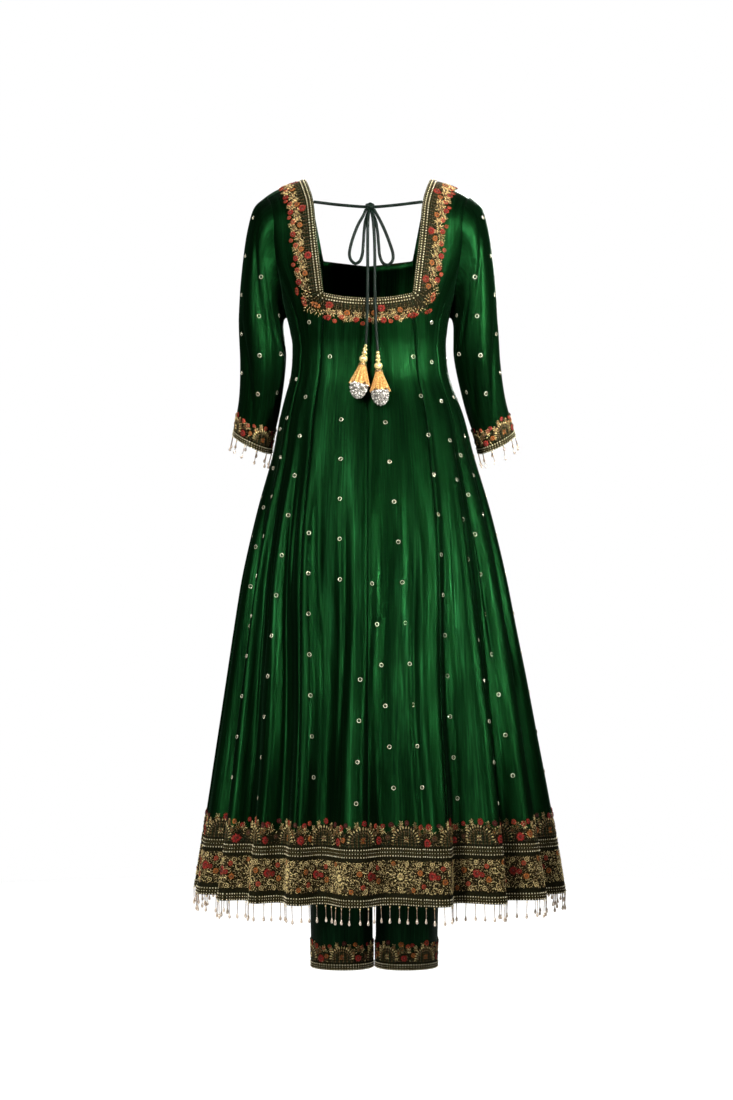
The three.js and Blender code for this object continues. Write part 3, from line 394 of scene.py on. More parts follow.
def on_panel(panel, u, level):
    """A point of a panel: across it from 0 to 1, at a level."""
    _, left, right, _ = panel
    u, level = np.broadcast_arrays(np.asarray(u, float), np.asarray(level, float))
    hem = mix(left(np.full(level.shape, float(HEM))), right(np.full(level.shape, float(HEM))), u)
    angle = mix(left(level), right(level), u)
    point = tunic_point(angle, level)
    on_back = np.abs(angle) < 100
    fold = fold_at(hem + wander(hem, level)) * fold_share(level) + creases(hem, level)
    fold = fold + pulls(point[..., 0], level) * on_back
    return tunic_point(angle, level, fold)


def on_tunic(hem_angle, level):
    """A point of the skirt or body from its direction at the hem, whichever panel that is in."""
    hem_angle, level = np.broadcast_arrays(np.asarray(hem_angle, float), np.asarray(level, float))
    first = float(PANELS[0][1](np.array(float(HEM))))
    around = (hem_angle - first) % 360 + first
    out = np.zeros((*around.shape, 3))
    at_hem = np.full(1, float(HEM))
    for panel in PANELS:
        low, high = float(panel[1](at_hem)[0]), float(panel[2](at_hem)[0])
        here = (around >= low) & (around < high)
        if here.any():
            out[here] = on_panel(panel, (around[here] - low) / (high - low), level[here])
    return out


def on_shoulders(x, level, front):
    """A point of the upper body from its distance from the centre and its level."""
    angle = angle_at(np.abs(x), level)
    angle = np.where(front, 180 - angle, angle) * np.where(x < 0, -1, 1)
    return tunic_point(angle, level, pulls(x, level) * ~np.asarray(front, bool))


def armhole_point(turn):
    level = ARMPIT * (1 - np.cos(turn)) / 2
    angle = armhole_angle(level)
    return tunic_point(np.where(np.sin(turn) >= 0, angle, 180 - angle), level)


def plain_ring(ring, turn):
    row = {name: read(SLEEVE, name, ring, key="ring") for name in SLEEVE if name != "ring"}
    c, s = np.cos(turn), np.sin(turn)
    x = (row["outX"] + row["inX"]) / 2 + (row["outX"] - row["inX"]) / 2 * c
    z = (row["outZ"] + row["inZ"]) / 2 + (row["outZ"] - row["inZ"]) / 2 * c - row["dip"] * s
    middle = np.stack([(row["outX"] + row["inX"]) / 2 + 0 * c, row["mid"] + 0 * c, z], -1)
    return np.stack([x, row["mid"] - row["deep"] * s, z], -1), middle, row["armhole"]


def on_sleeve(side, degrees, ring):
    """A point of a sleeve, in degrees round the arm from its outer side over the back, and in rings down it."""
    degrees, ring = np.broadcast_arrays(np.asarray(degrees, float), np.asarray(ring, float))
    turn = np.radians(degrees)
    point, middle, share = plain_ring(ring, turn)
    start, _, _ = plain_ring(0 * ring, turn)
    point = point + (armhole_point(turn) - start) * share[..., None]
    depth = np.zeros(degrees.shape)
    for first, last, top, bottom, wide, deep in zip(*SLEEVE_FOLDS.values()):
        along = np.clip((ring - top) / (bottom - top), 0, 1)
        off = ((degrees - mix(first, last, along) + 180) % 360 - 180) / wide
        depth += deep * np.sin(np.pi * along) * (1 - 0.5 * off**2) * np.exp(-off * off)
    inward = point - middle
    inward /= np.maximum(np.linalg.norm(inward, axis=-1, keepdims=True), 1e-6)
    point = point - inward * depth[..., None]
    lean = np.clip((point[..., 2] - SLEEVE_LEAN["start"]) / (SLEEVE_LEAN["end"] - SLEEVE_LEAN["start"]), 0, 1)
    point[..., 0] = point[..., 0] * side + SLEEVE_LEAN["by"] * lean
    return point


def on_leg(side, face, u, level):
    """A point of the trousers: across a front or back quarter from its inner edge, at a level."""
    u, level = np.broadcast_arrays(np.asarray(u, float), np.asarray(level, float))
    turn = np.radians(90 * u)
    hip = [read(HIPS, "half", level) * rounded(np.sin(turn)), read(HIPS, face, level) * rounded(np.cos(turn))]
    turn = np.radians(180 * u)
    leg = [
        read(LEG, "middle", level) - read(LEG, "half", level) * rounded(np.cos(turn)),
        read(LEG, face, level) * rounded(np.sin(turn)),
    ]
    share = smooth(CROTCH_CURVE_START, CROTCH, level)
    x, y = mix(hip[0], leg[0], share), mix(hip[1], leg[1], share)
    ease = smooth(850, 1000, level) * (1.2 * np.sin(level / 31 + u * 5) + 0.9 * np.sin(level / 17 - u * 7))
    y = y + ease * np.sin(turn)
    shift = read(SECTIONS, "shift", np.minimum(level, CROTCH))
    return np.stack([side * x + shift, -y if face == "back" else y, -level], -1)


def around_leg(side, degrees, level):
    """A point of a trouser leg, in degrees round it from its inner side over the back."""
    around = np.asarray(degrees, float) % 360
    u = np.where(around < 180, around / 180, (360 - around) / 180)
    back, front = on_leg(side, "back", u, level), on_leg(side, "front", u, level)
    return np.where((around < 180)[..., None], back, front)


# Meshes


def put_in(mesh_object):
    bpy.context.scene.collection.objects.link(mesh_object)
    return mesh_object


def dress(piece, slot, *nodes):
    """Rides a piece on the part's body, and hides the nodes that it stands for."""
    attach(piece, "root")
    if nodes:
        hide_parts(*nodes)
    return piece


def grid_piece(name, columns, rows, place, material, size, closed=False):
    """A sheet from a bmesh grid, each point moved to place(u, v), with u along and v up; its UV map is in metres."""
    bm = bmesh.new()
    bmesh.ops.create_grid(bm, x_segments=columns, y_segments=rows, size=0.5)
    mesh = bpy.data.meshes.new(name)
    bm.to_mesh(mesh)
    bm.free()
    flat = np.zeros(len(mesh.vertices) * 3)
    mesh.vertices.foreach_get("co", flat)
    uv = flat.reshape(-1, 3)[:, :2] + 0.5
    mesh.vertices.foreach_set("co", np.ravel(place(uv[:, 0], uv[:, 1]) * MM))
    layer = mesh.uv_layers.new(name="cloth")
    corner = np.zeros(len(mesh.loops), int)
    mesh.loops.foreach_get("vertex_index", corner)
    layer.data.foreach_set("uv", np.ravel(uv[corner] * np.array(size) * MM))
    if closed:
        bm = bmesh.new()
        bm.from_mesh(mesh)
        bmesh.ops.remove_doubles(bm, verts=bm.verts, dist=2e-5)
        bm.to_mesh(mesh)
        bm.free()
    mesh.shade_smooth()
    mesh.materials.append(material)
    return put_in(bpy.data.objects.new(name, mesh))


def cut_of(place, columns, rows):
    """The width, length and area in metres of the flat cut, measured along the cloth as it hangs."""
    u, v = np.meshgrid(np.linspace(0, 1, columns + 1), np.linspace(0, 1, rows + 1))
    grid = (place(u.ravel(), v.ravel()) * MM).reshape(rows + 1, columns + 1, 3)
    width = np.linalg.norm(np.diff(grid, axis=1), axis=2).sum(1).max()
    length = np.linalg.norm(np.diff(grid, axis=0), axis=2).sum(0).max()
    corners = np.cross(grid[1:, 1:] - grid[:-1, :-1], grid[1:, :-1] - grid[:-1, 1:])
    area = np.linalg.norm(corners, axis=2).sum() / 2
    return (float(width), float(length)), float(area)


def thicken(piece, thickness):
    wall = piece.modifiers.new("wall", "SOLIDIFY")
    wall.thickness = thickness * MM
    wall.offset = -1


def shape_of(make):
    """The points and faces of a small shape that is repeated, from a bmesh operator."""
    bm = bmesh.new()
    make(bm)
    points = np.array([v.co[:] for v in bm.verts])
    faces = [[v.index for v in f.verts] for f in bm.faces]
    bm.free()
    return points, faces


def ball(segments, rings):
    return shape_of(lambda bm: bmesh.ops.create_uvsphere(bm, u_segments=segments, v_segments=rings, radius=0.5))


def spun(profile, segments, loop=False):
    """A closed turned shape from (radius, height) pairs: a line that starts and ends on the axis, or a loop off it."""

    def make(bm):
        points = [bm.verts.new((r, 0, z)) for r, z in profile]
        ahead = points[1:] + points[:1] if loop else points[1:]
        edges = [bm.edges.new(pair) for pair in zip(points, ahead)]
        bmesh.ops.spin(
            bm, geom=points + edges, axis=(0, 0, 1), cent=(0, 0, 0), angle=2 * math.pi, steps=segments, use_merge=True
        )
        bmesh.ops.remove_doubles(bm, verts=bm.verts, dist=1e-4)
        bmesh.ops.recalc_face_normals(bm, faces=bm.faces)
        bm.verts.index_update()

    return shape_of(make)


def ring_shape(thick, segments, sides=4):
    """A ring 1 across, from a small polygon."""
    turns = [2 * math.pi * k / sides for k in range(sides)]
    return spun([(0.5 - thick + thick * math.cos(a), thick * math.sin(a)) for a in turns], segments, loop=True)


def many(name, shape, places, axes, sizes, material):
    """One mesh of many copies of a shape. Axes are rows of unit vectors for its x, y and z, and sizes are in mm."""
    points, faces = shape
    scaled = points[None] * sizes[:, None, :]
    co = places[:, None, :] + np.einsum("nki,nij->nkj", scaled, axes)
    count, per = len(places), len(points)
    lengths = np.array([len(f) for f in faces])
    corners = np.concatenate(faces)
    loops = (corners[None] + per * np.arange(count)[:, None]).ravel()
    mesh = bpy.data.meshes.new(name)
    mesh.vertices.add(count * per)
    mesh.vertices.foreach_set("co", np.ravel(co * MM))
    mesh.loops.add(len(loops))
    mesh.loops.foreach_set("vertex_index", loops)
    starts = np.cumsum(np.tile(lengths, count)) - np.tile(lengths, count)
    mesh.polygons.add(count * len(faces))
    mesh.polygons.foreach_set("loop_start", starts)
    mesh.update()
    mesh.validate()
    mesh.shade_smooth()
    mesh.materials.append(material)
    return put_in(bpy.data.objects.new(name, mesh))


def unit(v):
    return v / np.maximum(np.linalg.norm(v, axis=-1, keepdims=True), 1e-9)


def frame_on(surface, s, t, step=1.0):
    """Place, along, up and outward directions of a surface(s, t) that is given in mm along and up."""
    along = unit(surface(s + step, t) - surface(s - step, t))
    up = unit(surface(s, t + step) - surface(s, t - step))
    out = unit(np.cross(along, up))
    return surface(s, t), along, unit(np.cross(out, along)), out


class Work:
    """Embroidery as it is sewn: stitches, beads and rings by thread, in mm along and up a border."""

    def __init__(self, seed):
        self.stitches, self.beads = {}, {}
        self.chance = np.random.default_rng(seed)

    def stitch(self, thread, s, t, angle, length, width=0.8, high=0.7):
        self.stitches.setdefault(thread, []).append((s, t, angle, length, width, high))

    def bead(self, thread, s, t, size, high=None):
        self.beads.setdefault(thread, []).append((s, t, size, high or size))

    def ray(self, thread, s, t, turn, far, length, width, high):
        """A stitch that points away from a centre, at a distance from it."""
        self.stitch(thread, s + math.cos(turn) * far, t + math.sin(turn) * far, math.degrees(turn), length, width, high)

    def line(self, thread, points, step=2.2, width=0.8):
        points = np.array(points, float)
        ends = np.hypot(*np.diff(points, axis=0).T)
        total = ends.sum()
        count = max(1, round(total / step))
        at = (np.arange(count) + 0.5) * total / count
        run = np.concatenate([[0], np.cumsum(ends)])
        s, t = np.interp(at, run, points[:, 0]), np.interp(at, run, points[:, 1])
        ds = np.interp(at + 0.5, run, points[:, 0]) - np.interp(at - 0.5, run, points[:, 0])
        dt = np.interp(at + 0.5, run, points[:, 1]) - np.interp(at - 0.5, run, points[:, 1])
        for k in range(count):
            self.stitch(thread, s[k], t[k], math.degrees(math.atan2(dt[k], ds[k])), step * 1.25, width)

    def flower(self, thread, s, t, radius, petals=8, turn=0.0):
        """A satin-stitch flower: a round of petals with a darker split, and a gold bead."""
        for k in range(petals):
            middle = turn + 360 * k / petals
            uneven = self.chance.uniform(0.78, 1.08)
            for off, reach in ((-0.2, 0.86), (0.2, 1.0)):
                a = math.radians(middle + off * 360 / petals)
                self.ray(thread, s, t, a, radius * reach * uneven * 0.54, radius * 0.9, radius * 0.25, 1.3)
            a = math.radians(middle + 180 / petals)
            self.ray("garnet", s, t, a, radius * 0.3, radius * 0.5, radius * 0.2, 2.4)
        self.bead("gold", s, t, 1.7, 3.4)

    def burst(self, s, t, radius, thread="bright_gold", rays=8, turn=0.0, heart="orange"):
        """A flower of metal thread: raised strokes about a bead, with a short stroke between each two."""
        for k in range(rays):
            a = math.radians(turn + 360 * k / rays)
            reach = radius * (0.8, 1.0, 0.9)[k % 3]
            shade = thread if k % 4 else "gold"
            self.ray(shade, s, t, a, reach * 0.55, reach * 0.85, 1.15, 1.6)
        self.bead(heart, s, t, 2, 2.4)

    def rosette(self, s, t, radius, thread="bright_gold"):
        """A ring of slanted stitches round a bead."""
        for k in range(9):
            a = math.radians(40 * k)
            x, y = s + radius * 0.75 * math.cos(a), t + radius * 0.75 * math.sin(a)
            self.stitch(thread, x, y, 40 * k + 70, radius * 0.72, 1.4, 1.5)
        self.bead("bright_gold", s, t, radius * 0.62, 1.8)

    def scroll(self, thread, s, t, radius, start, sweep, width=1.2):
        """An arc that winds inwards, as on a vine."""
        turns = np.radians(np.linspace(start, start + sweep, 24))
        reach = np.linspace(radius, radius * 0.3, 24)
        self.line(thread, np.column_stack([s + reach * np.cos(turns), t + reach * np.sin(turns)]), 3, width)

    def spray(self, s, t, angle, spread, count, length, thread="bright_gold"):
        """Leaf strokes that open like a fan."""
        for k in range(count):
            a = math.radians(angle + spread * (k / (count - 1) - 0.5))
            far = length * (0.55 + 0.12 * (k % 2))
            shade = thread if k % 2 else "gold"
            self.ray(shade, s, t, a, far, length * 0.7, 1.0, 1.3)

    def fill(self, threads, inside, s0, s1, t0, t1, spacing=2.5, away=()):
        """Short curls in a field, kept off the places in away, which are (s, t, radius)."""
        rows, columns = max(1, round((t1 - t0) / spacing)), max(1, round((s1 - s0) / spacing))
        for j in range(rows):
            for k in range(columns):
                s = s0 + (k + self.chance.uniform(0.1, 0.9)) * (s1 - s0) / columns
                t = t0 + (j + self.chance.uniform(0.1, 0.9)) * (t1 - t0) / rows
                if not inside(s, t) or any(math.hypot(s - a, t - b) < r for a, b, r in away):
                    continue
                # the strokes turn slowly from place to place, so that they read as curls
                turn = 200 * math.sin(s / 5.1 + 1.3 * math.sin(t / 4.3)) + 60 * math.cos(t / 3.7)
                thread = threads[self.chance.integers(len(threads))]
                self.stitch(thread, s, t, turn, spacing * self.chance.uniform(1.0, 1.7), 1.0, 1.1)

    def sew(self, name, surface, materials, lift=STITCH_LIFT):
        """Lays all the stitches and beads on a surface, as one piece for each thread and kind."""
        grain, bead = ball(4, 2), ball(5, 2)
        for thread, rows in self.stitches.items():
            s, t, angle, length, width, high = np.array(rows).T
            place, along, up, out = frame_on(surface, s, t)
            a = np.radians(angle)[:, None]
            x, y = along * np.cos(a) + up * np.sin(a), up * np.cos(a) - along * np.sin(a)
            axes = np.stack([x, y, out], 1)
            sizes = np.column_stack([length, width * 1.3, high * 1.6])
            place = place + out * lift
            dress(many(f"{name}_{thread}_thread", grain, place, axes, sizes, materials[thread]), "gold_lace")
        for thread, rows in self.beads.items():
            s, t, size, high = np.array(rows).T
            place, along, up, out = frame_on(surface, s, t)
            axes = np.stack([along, up, out], 1)
            sizes = np.column_stack([size, size, high * 0.8])
            place = place + out * (lift + 0.2)
            dress(many(f"{name}_{thread}_beads", bead, place, axes, sizes, materials[thread]), "gold_lace")


# Finishes


def linear(code):
    """A linear colour from sRGB hex."""
    parts = [int(code.lstrip("#")[k : k + 2], 16) / 255 for k in (0, 2, 4)]
    return (*[p / 12.92 if p <= 0.04045 else ((p + 0.055) / 1.055) ** 2.4 for p in parts], 1.0)


def add(material, kind, settings=None, links=None):
    """Adds a node with its settings (stops are those of a colour ramp), and links its sockets to (node, output)."""
    node = material.node_tree.nodes.new(kind)
    for name, value in (settings or {}).items():
        if name == "stops":
            colours = node.color_ramp.elements
            while len(colours) < len(value):
                colours.new(0.5)
            for colour, (position, code) in zip(colours, value):
                colour.position, colour.color = position, linear(code)
        elif isinstance(name, int) or name in node.inputs:
            node.inputs[name].default_value = value
        else:
            setattr(node, name, value)
    for name, (source, output) in (links or {}).items():
        material.node_tree.links.new(source.outputs[output], node.inputs[name])
    return node


def new_material(name):
    material = bpy.data.materials.new(name)
    material.use_nodes = True
    shader = material.node_tree.nodes["Principled BSDF"]
    return material, shader


def set_to(shader, values):
    for name, value in values.items():
        shader.inputs[name].default_value = value


def speckled(name, scale, detail, stops):
    """A material with specks of colour through the piece, drawn coarser than real ones so that they show."""
    material, shader = new_material(name)
    place = add(material, "ShaderNodeTexCoord")
    noise = add(material, "ShaderNodeTexNoise", {"Scale": scale, "Detail": detail}, {"Vector": (place, "Object")})
    colour = add(material, "ShaderNodeValToRGB", {"stops": stops}, {"Fac": (noise, "Fac")})
    material.node_tree.links.new(colour.outputs["Color"], shader.inputs["Base Color"])
    return material, shader, noise


def slub_silk(name, dark, body, bright, roughness=0.34):
    """Hand-loom silk: fine threads across, and thicker slubs that run down the cloth and catch the light."""
    material, shader = new_material(name)
    place = add(material, "ShaderNodeUVMap", {"uv_map": "cloth"})
    noises = []
    for scale, settings in (
        # slubs about 2.4 mm wide and 80 mm long, drawn twice as coarse as real ones so that they show
        ((420, 12, 1), {"Scale": 1, "Detail": 4, "Roughness": 0.65}),
        # broad bands about 25 mm wide where the dye took more or less
        ((42, 3, 1), {"Scale": 1, "Detail": 3}),
        # threads, drawn at 1.1 mm so that they show
        ((900, 900, 1), {"Scale": 1, "Detail": 2}),
    ):
        stretched = add(material, "ShaderNodeMapping", {"Scale": scale}, {"Vector": (place, "UV")})
        noises.append(add(material, "ShaderNodeTexNoise", settings, {"Vector": (stretched, "Vector")}))
    slubs, bands, threads = noises
    weighed = {"operation": "MULTIPLY_ADD", 1: 1.2}
    both = add(material, "ShaderNodeMath", weighed, {0: (slubs, "Fac"), 2: (bands, "Fac")})
    shade = add(material, "ShaderNodeMath", {"operation": "MULTIPLY", 1: 0.455}, {0: (both, "Value")})
    stops = [(0.36, dark), (0.5, body), (0.66, bright)]
    colour = add(material, "ShaderNodeValToRGB", {"stops": stops}, {"Fac": (shade, "Value")})
    weighed = {"operation": "MULTIPLY_ADD", 1: 0.6}
    relief = add(material, "ShaderNodeMath", weighed, {0: (threads, "Fac"), 2: (slubs, "Fac")})
    bump = add(material, "ShaderNodeBump", {"Strength": 0.6, "Distance": 0.0007}, {"Height": (relief, "Value")})
    spread = {"From Min": 0.3, "From Max": 0.7, "To Min": roughness + 0.1, "To Max": roughness - 0.06}
    gloss = add(material, "ShaderNodeMapRange", spread, {"Value": (slubs, "Fac")})
    links = material.node_tree.links
    links.new(colour.outputs["Color"], shader.inputs["Base Color"])
    links.new(gloss.outputs["Result"], shader.inputs["Roughness"])
    links.new(bump.outputs["Normal"], shader.inputs["Normal"])
    # the yarns mirror light in the cloth's own green, so that folds go from bright to nearly black
    set_to(shader, {"Metallic": 0.8, "Specular IOR Level": 0.2, "Specular Tint": linear("#2C5A38")})
    set_to(shader, {"Sheen Weight": 0.04, "Sheen Roughness": 0.4, "Sheen Tint": linear("#6FBF85")})
    set_to(shader, {"Anisotropic": 0.35})
    return material


def metal_thread(name, dark, bright, roughness, metallic, grain, gloss=0.5):
    """Zari: flat metal strip wound on a core, which glints and darkens in short lengths."""
    material, shader, _ = speckled(name, grain, 2, [(0.35, dark), (0.65, bright)])
    set_to(shader, {"Metallic": metallic, "Roughness": roughness, "Specular IOR Level": gloss})
    return material


def floss(name, dark, bright):
    """Untwisted silk floss in satin stitch: deep colour with a soft shine along the threads."""
    material, shader, _ = speckled(name, 700, 2, [(0.35, dark), (0.65, bright)])
    set_to(shader, {"Roughness": 0.5, "Specular IOR Level": 0.15, "Sheen Weight": 0.1, "Sheen Tint": linear(bright)})
    return material


def pearl(name, dark, bright):
    """Glass pearl: a milky ball under a clear coat."""
    material, shader, _ = speckled(name, 260, 1, [(0.3, dark), (0.7, bright)])
    set_to(shader, {"Roughness": 0.18, "Coat Weight": 0.6, "Coat Roughness": 0.08})
    return material


def tissue(name):
    """Gold tissue: sheer silk woven with flat metal, pressed into fine pleats."""
    material, shader, _ = speckled(name, 420, 3, [(0.3, "#8F5F2C"), (0.55, "#C2924F"), (0.75, "#E6CA92")])
    set_to(shader, {"Metallic": 0.45, "Roughness": 0.36})
    return material


def satin_cord(name, dark, bright):
    """Satin rouleau: bias-cut silk sewn into a tube, smooth with a narrow highlight."""
    material, shader, noise = speckled(name, 300, 2, [(0.35, dark), (0.7, bright)])
    bump = add(material, "ShaderNodeBump", {"Strength": 0.2, "Distance": 0.0003}, {"Height": (noise, "Fac")})
    material.node_tree.links.new(bump.outputs["Normal"], shader.inputs["Normal"])
    set_to(shader, {"Roughness": 0.45, "Specular IOR Level": 0.1})
    return material


def paper(name, code):
    """Matt paper on a light table: it glows to just white under the lamps, so that thin drops stand out before it."""
    material, shader = new_material(name)
    place = add(material, "ShaderNodeTexCoord")
    noise = add(material, "ShaderNodeTexNoise", {"Scale": 60, "Detail": 2}, {"Vector": (place, "Object")})
    bump = add(material, "ShaderNodeBump", {"Strength": 0.03, "Distance": 0.001}, {"Height": (noise, "Fac")})
    material.node_tree.links.new(bump.outputs["Normal"], shader.inputs["Normal"])
    set_to(shader, {"Base Color": linear(code), "Roughness": 0.9})
    set_to(shader, {"Emission Color": linear("#FFFFFF"), "Emission Strength": 0.86})
    return material


FINISHES = {}


def finishes():
    if not FINISHES:
        looks = bpy.context.scene.suit_looks
        FINISHES.update(
            silk=slub_silk("bottle_green_silk", looks.silk_dark, looks.silk, looks.silk_bright),
            trouser_silk=slub_silk("trouser_silk", "#031007", "#06180B", "#0C2814", 0.42),
            gold=metal_thread("antique_zari", "#33240E", looks.gold, 0.42, 0.3, 380),
            bright_gold=metal_thread("bright_zari", "#64481F", looks.bright_gold, 0.34, 0.2, 380),
            bronze=metal_thread("dull_zari", "#1A1307", "#483616", 0.5, 0.3, 380, 0.2),
            lace_gold=metal_thread("lace_zari", "#8E7E50", "#F4ECCC", 0.3, 0.2, 500),
            lace_ground=metal_thread("lace_ground", "#080A04", "#26230B", 0.7, 0.1, 500, 0.05),
            # near black: the dark cloth under the embroidery, and also painted shade in the gaps between raised
            # stitches and in the strips beside the laces
            ground=metal_thread("stitched_ground", "#020603", "#1A1708", 0.8, 0.0, 600, 0.03),
            red=floss("red_floss", "#560C08", looks.red),
            garnet=floss("garnet_floss", "#1E0505", "#48100C"),
            coral=floss("coral_floss", "#6E1E10", looks.coral),
            orange=floss("orange_floss", "#5E2E0C", "#A8642A"),
            moss=floss("moss_floss", "#0A1C0E", "#1C3A20"),
            pearl=pearl("glass_pearl", "#7E6C5A", "#CBBBA8"),
            strung=pearl("strung_beads", "#3E2C1E", "#84694E"),
            silver=metal_thread("silver_beads", "#5A554D", "#DCD7CC", 0.2, 0.45, 420),
            sequin=metal_thread("pressed_sequin", "#A39B80", "#EAE4CC", 0.25, 0.4, 300),
            silver_wire=metal_thread("silver_wire", "#4E4A44", "#A8A29A", 0.35, 0.8, 500),
            tissue=tissue("gold_tissue"),
            cord=satin_cord("satin_rouleau", "#010704", looks.cord),
        )
    return FINISHES


def hex_of(name, description, default):
    return bpy.props.StringProperty(name=name, description=description, default=default)


class SuitLooks(bpy.types.PropertyGroup):
    """Colours that a user would change."""

    silk: hex_of("Silk", "Body colour of the silk, in sRGB hex", "#041907")
    silk_dark: hex_of("Silk, dark slubs", "Darkest thread of the silk, in sRGB hex", "#010B03")
    silk_bright: hex_of("Silk, bright slubs", "Brightest thread of the silk, in sRGB hex", "#0A2C13")
    gold: hex_of("Antique gold", "Darker metal thread, in sRGB hex", "#785C2D")
    bright_gold: hex_of("Bright gold", "Lighter metal thread, in sRGB hex", "#E6D290")
    red: hex_of("Red floss", "Red of the flowers, in sRGB hex", "#8C1F16")
    coral: hex_of("Coral floss", "Coral of the small flowers, in sRGB hex", "#A2442A")
    cord: hex_of("Cord", "Highlight colour of the tie, in sRGB hex", "#05150A")


def length_of(name, description, default):
    return bpy.props.FloatProperty(name=name, description=description, default=default, unit="LENGTH")


class SuitSizes(bpy.types.PropertyGroup):
    """Sizes of the trims that a user would change, in metres."""

    butti_gap: length_of("Sequin spacing", "Distance between two sequins in a column", 0.067)
    butti_size: length_of("Sequin size", "Diameter of a ring sequin", 0.0071)
    cord_thick: length_of("Cord", "Diameter of the tie cord", 0.0054)
    drop_length: length_of("Bead drop", "Length of a bead drop at the hem", 0.031)
    cuff_drop_length: length_of("Cuff drop", "Length of a bead drop at the cuffs", 0.026)


# The camera and the cords

KNOT = (3.2, -86, -56)
ROUTES = {
    "tie_bridge_left": [
        (-91.7, -74.3, -46.2), (-78, -77.4, -48.2), (-55, -81, -51.4), (-30, -84, -54), (-14, -85.5, -55.4),
        (-4.3, -86, -56),
    ],
    "tie_bridge_right": [
        (91.7, -74.3, -46.2), (78, -77.4, -48.2), (57, -81, -51.2), (34, -84, -54), (20, -85.5, -55.4),
        (10.7, -86, -56),
    ],
    "tie_loop_left": [
        (-3.6, -87.4, -60.8), (-7.9, -91, -71.1), (-15.8, -93, -85), (-23.6, -95.5, -104), (-29.5, -98, -123.8),
        (-31.4, -100.5, -137.8), (-28.5, -101.5, -147.7), (-21.6, -102, -153.2), (-14.3, -102, -149.7),
        (-9.9, -101, -138.9), (-7.9, -98.5, -120), (-6.5, -95.5, -98.1), (-4.2, -91.5, -80), (0.6, -85.2, -64.4),
    ],
    "tie_loop_right": [
        (9.9, -87.4, -60.6), (15.7, -91, -71.1), (22.5, -93, -84.1), (30.4, -95.5, -102), (37.7, -98, -121.9),
        (42.1, -100.5, -137.8), (41.1, -101.5, -148.7), (33.8, -102, -155.6), (25.4, -102, -152.7),
        (20, -101, -140.8), (18, -98.5, -121.9), (16.1, -95.5, -100), (12.7, -91.5, -80), (6.6, -85.2, -64.4),
    ],
    "tie_tail_left": [
        (1.1, -89.4, -62.8), (0.2, -94.5, -76), (-0.4, -97, -92), (-0.6, -99.5, -114), (-0.6, -102, -140),
        (-0.6, -105.4, -170), (-0.8, -107.2, -200), (-1.2, -107.4, -225), (-1.8, -107.6, -250),
        (-2.6, -107.2, -272), (-3.5, -107, -289),
    ],
    "tie_tail_right": [
        (5.6, -89.4, -62.8), (8, -94.5, -76), (9.6, -97, -92), (10.8, -99.5, -114), (11.4, -102, -140),
        (11.4, -105.4, -170), (11.6, -106.8, -200), (12.2, -107, -225), (13.2, -107.2, -254),
        (14.6, -107.2, -280), (16, -107, -300.6),
    ],
}
TASSELS = {
    "left": {"at": (-3.6, -107, -289.6), "out": 11.4, "side": -9},
    "right": {"at": (16, -107, -301.2), "out": 13.6, "side": 3.5},
}


def curve_points(points, steps=6):
    """More points on the same smooth line, as the CAD's cords have."""
    p = np.array(points, float)
    ends = np.vstack([2 * p[0] - p[1], p, 2 * p[-1] - p[-2]])
    out = []
    for k in range(1, len(ends) - 2):
        a, b, c, d = ends[k - 1 : k + 3]
        gaps = [max(np.linalg.norm(v) ** 0.5, 1e-4) for v in (b - a, c - b, d - c)]
        m1 = ((b - a) / gaps[0] - (c - a) / (gaps[0] + gaps[1]) + (c - b) / gaps[1]) * gaps[1]
        m2 = ((c - b) / gaps[1] - (d - b) / (gaps[1] + gaps[2]) + (d - c) / gaps[2]) * gaps[1]
        for t in np.arange(steps) / steps:
            out.append(
                (2 * t**3 - 3 * t**2 + 1) * b
                + (t**3 - 2 * t**2 + t) * m1
                + (3 * t**2 - 2 * t**3) * c
                + (t**3 - t**2) * m2
            )
    return np.array([*out, p[-1]])


def cord_piece(name, thick, material):
    points = curve_points(ROUTES[name])
    line = bpy.data.curves.new(name + "_cord", "CURVE")
    line.dimensions = "3D"
    spline = line.splines.new("POLY")
    spline.points.add(len(points) - 1)
    for point, co in zip(spline.points, points):
        point.co = (*(co * MM), 1)
    line.bevel_depth = thick / 2
    line.bevel_resolution = 3
    line.use_fill_caps = True
    line.materials.append(material)
    piece = put_in(bpy.data.objects.new(name + "_cord", line))
    length = float(np.linalg.norm(np.diff(points, axis=0), axis=1).sum()) * MM
    return piece, length


class SUIT_OT_camera(bpy.types.Operator):
    """Sets the camera square to the back, at mid height and far off, as the suit is seen"""

    bl_idname = "suit.camera"
    bl_label = "Camera"

    def execute(self, context):
        view = bpy.data.cameras.new("camera")
        view.sensor_fit = "VERTICAL"
        view.sensor_height = 36
        distance, height_seen = 5.2, 1.892
        view.lens = view.sensor_height * distance / height_seen
        view.clip_end = 50
        camera = put_in(bpy.data.objects.new("camera", view))
        camera.location = (-0.0026, -distance, -0.6364)
        camera.rotation_euler = (math.radians(90), 0, 0)
        context.scene.camera = camera
        return {"FINISHED"}


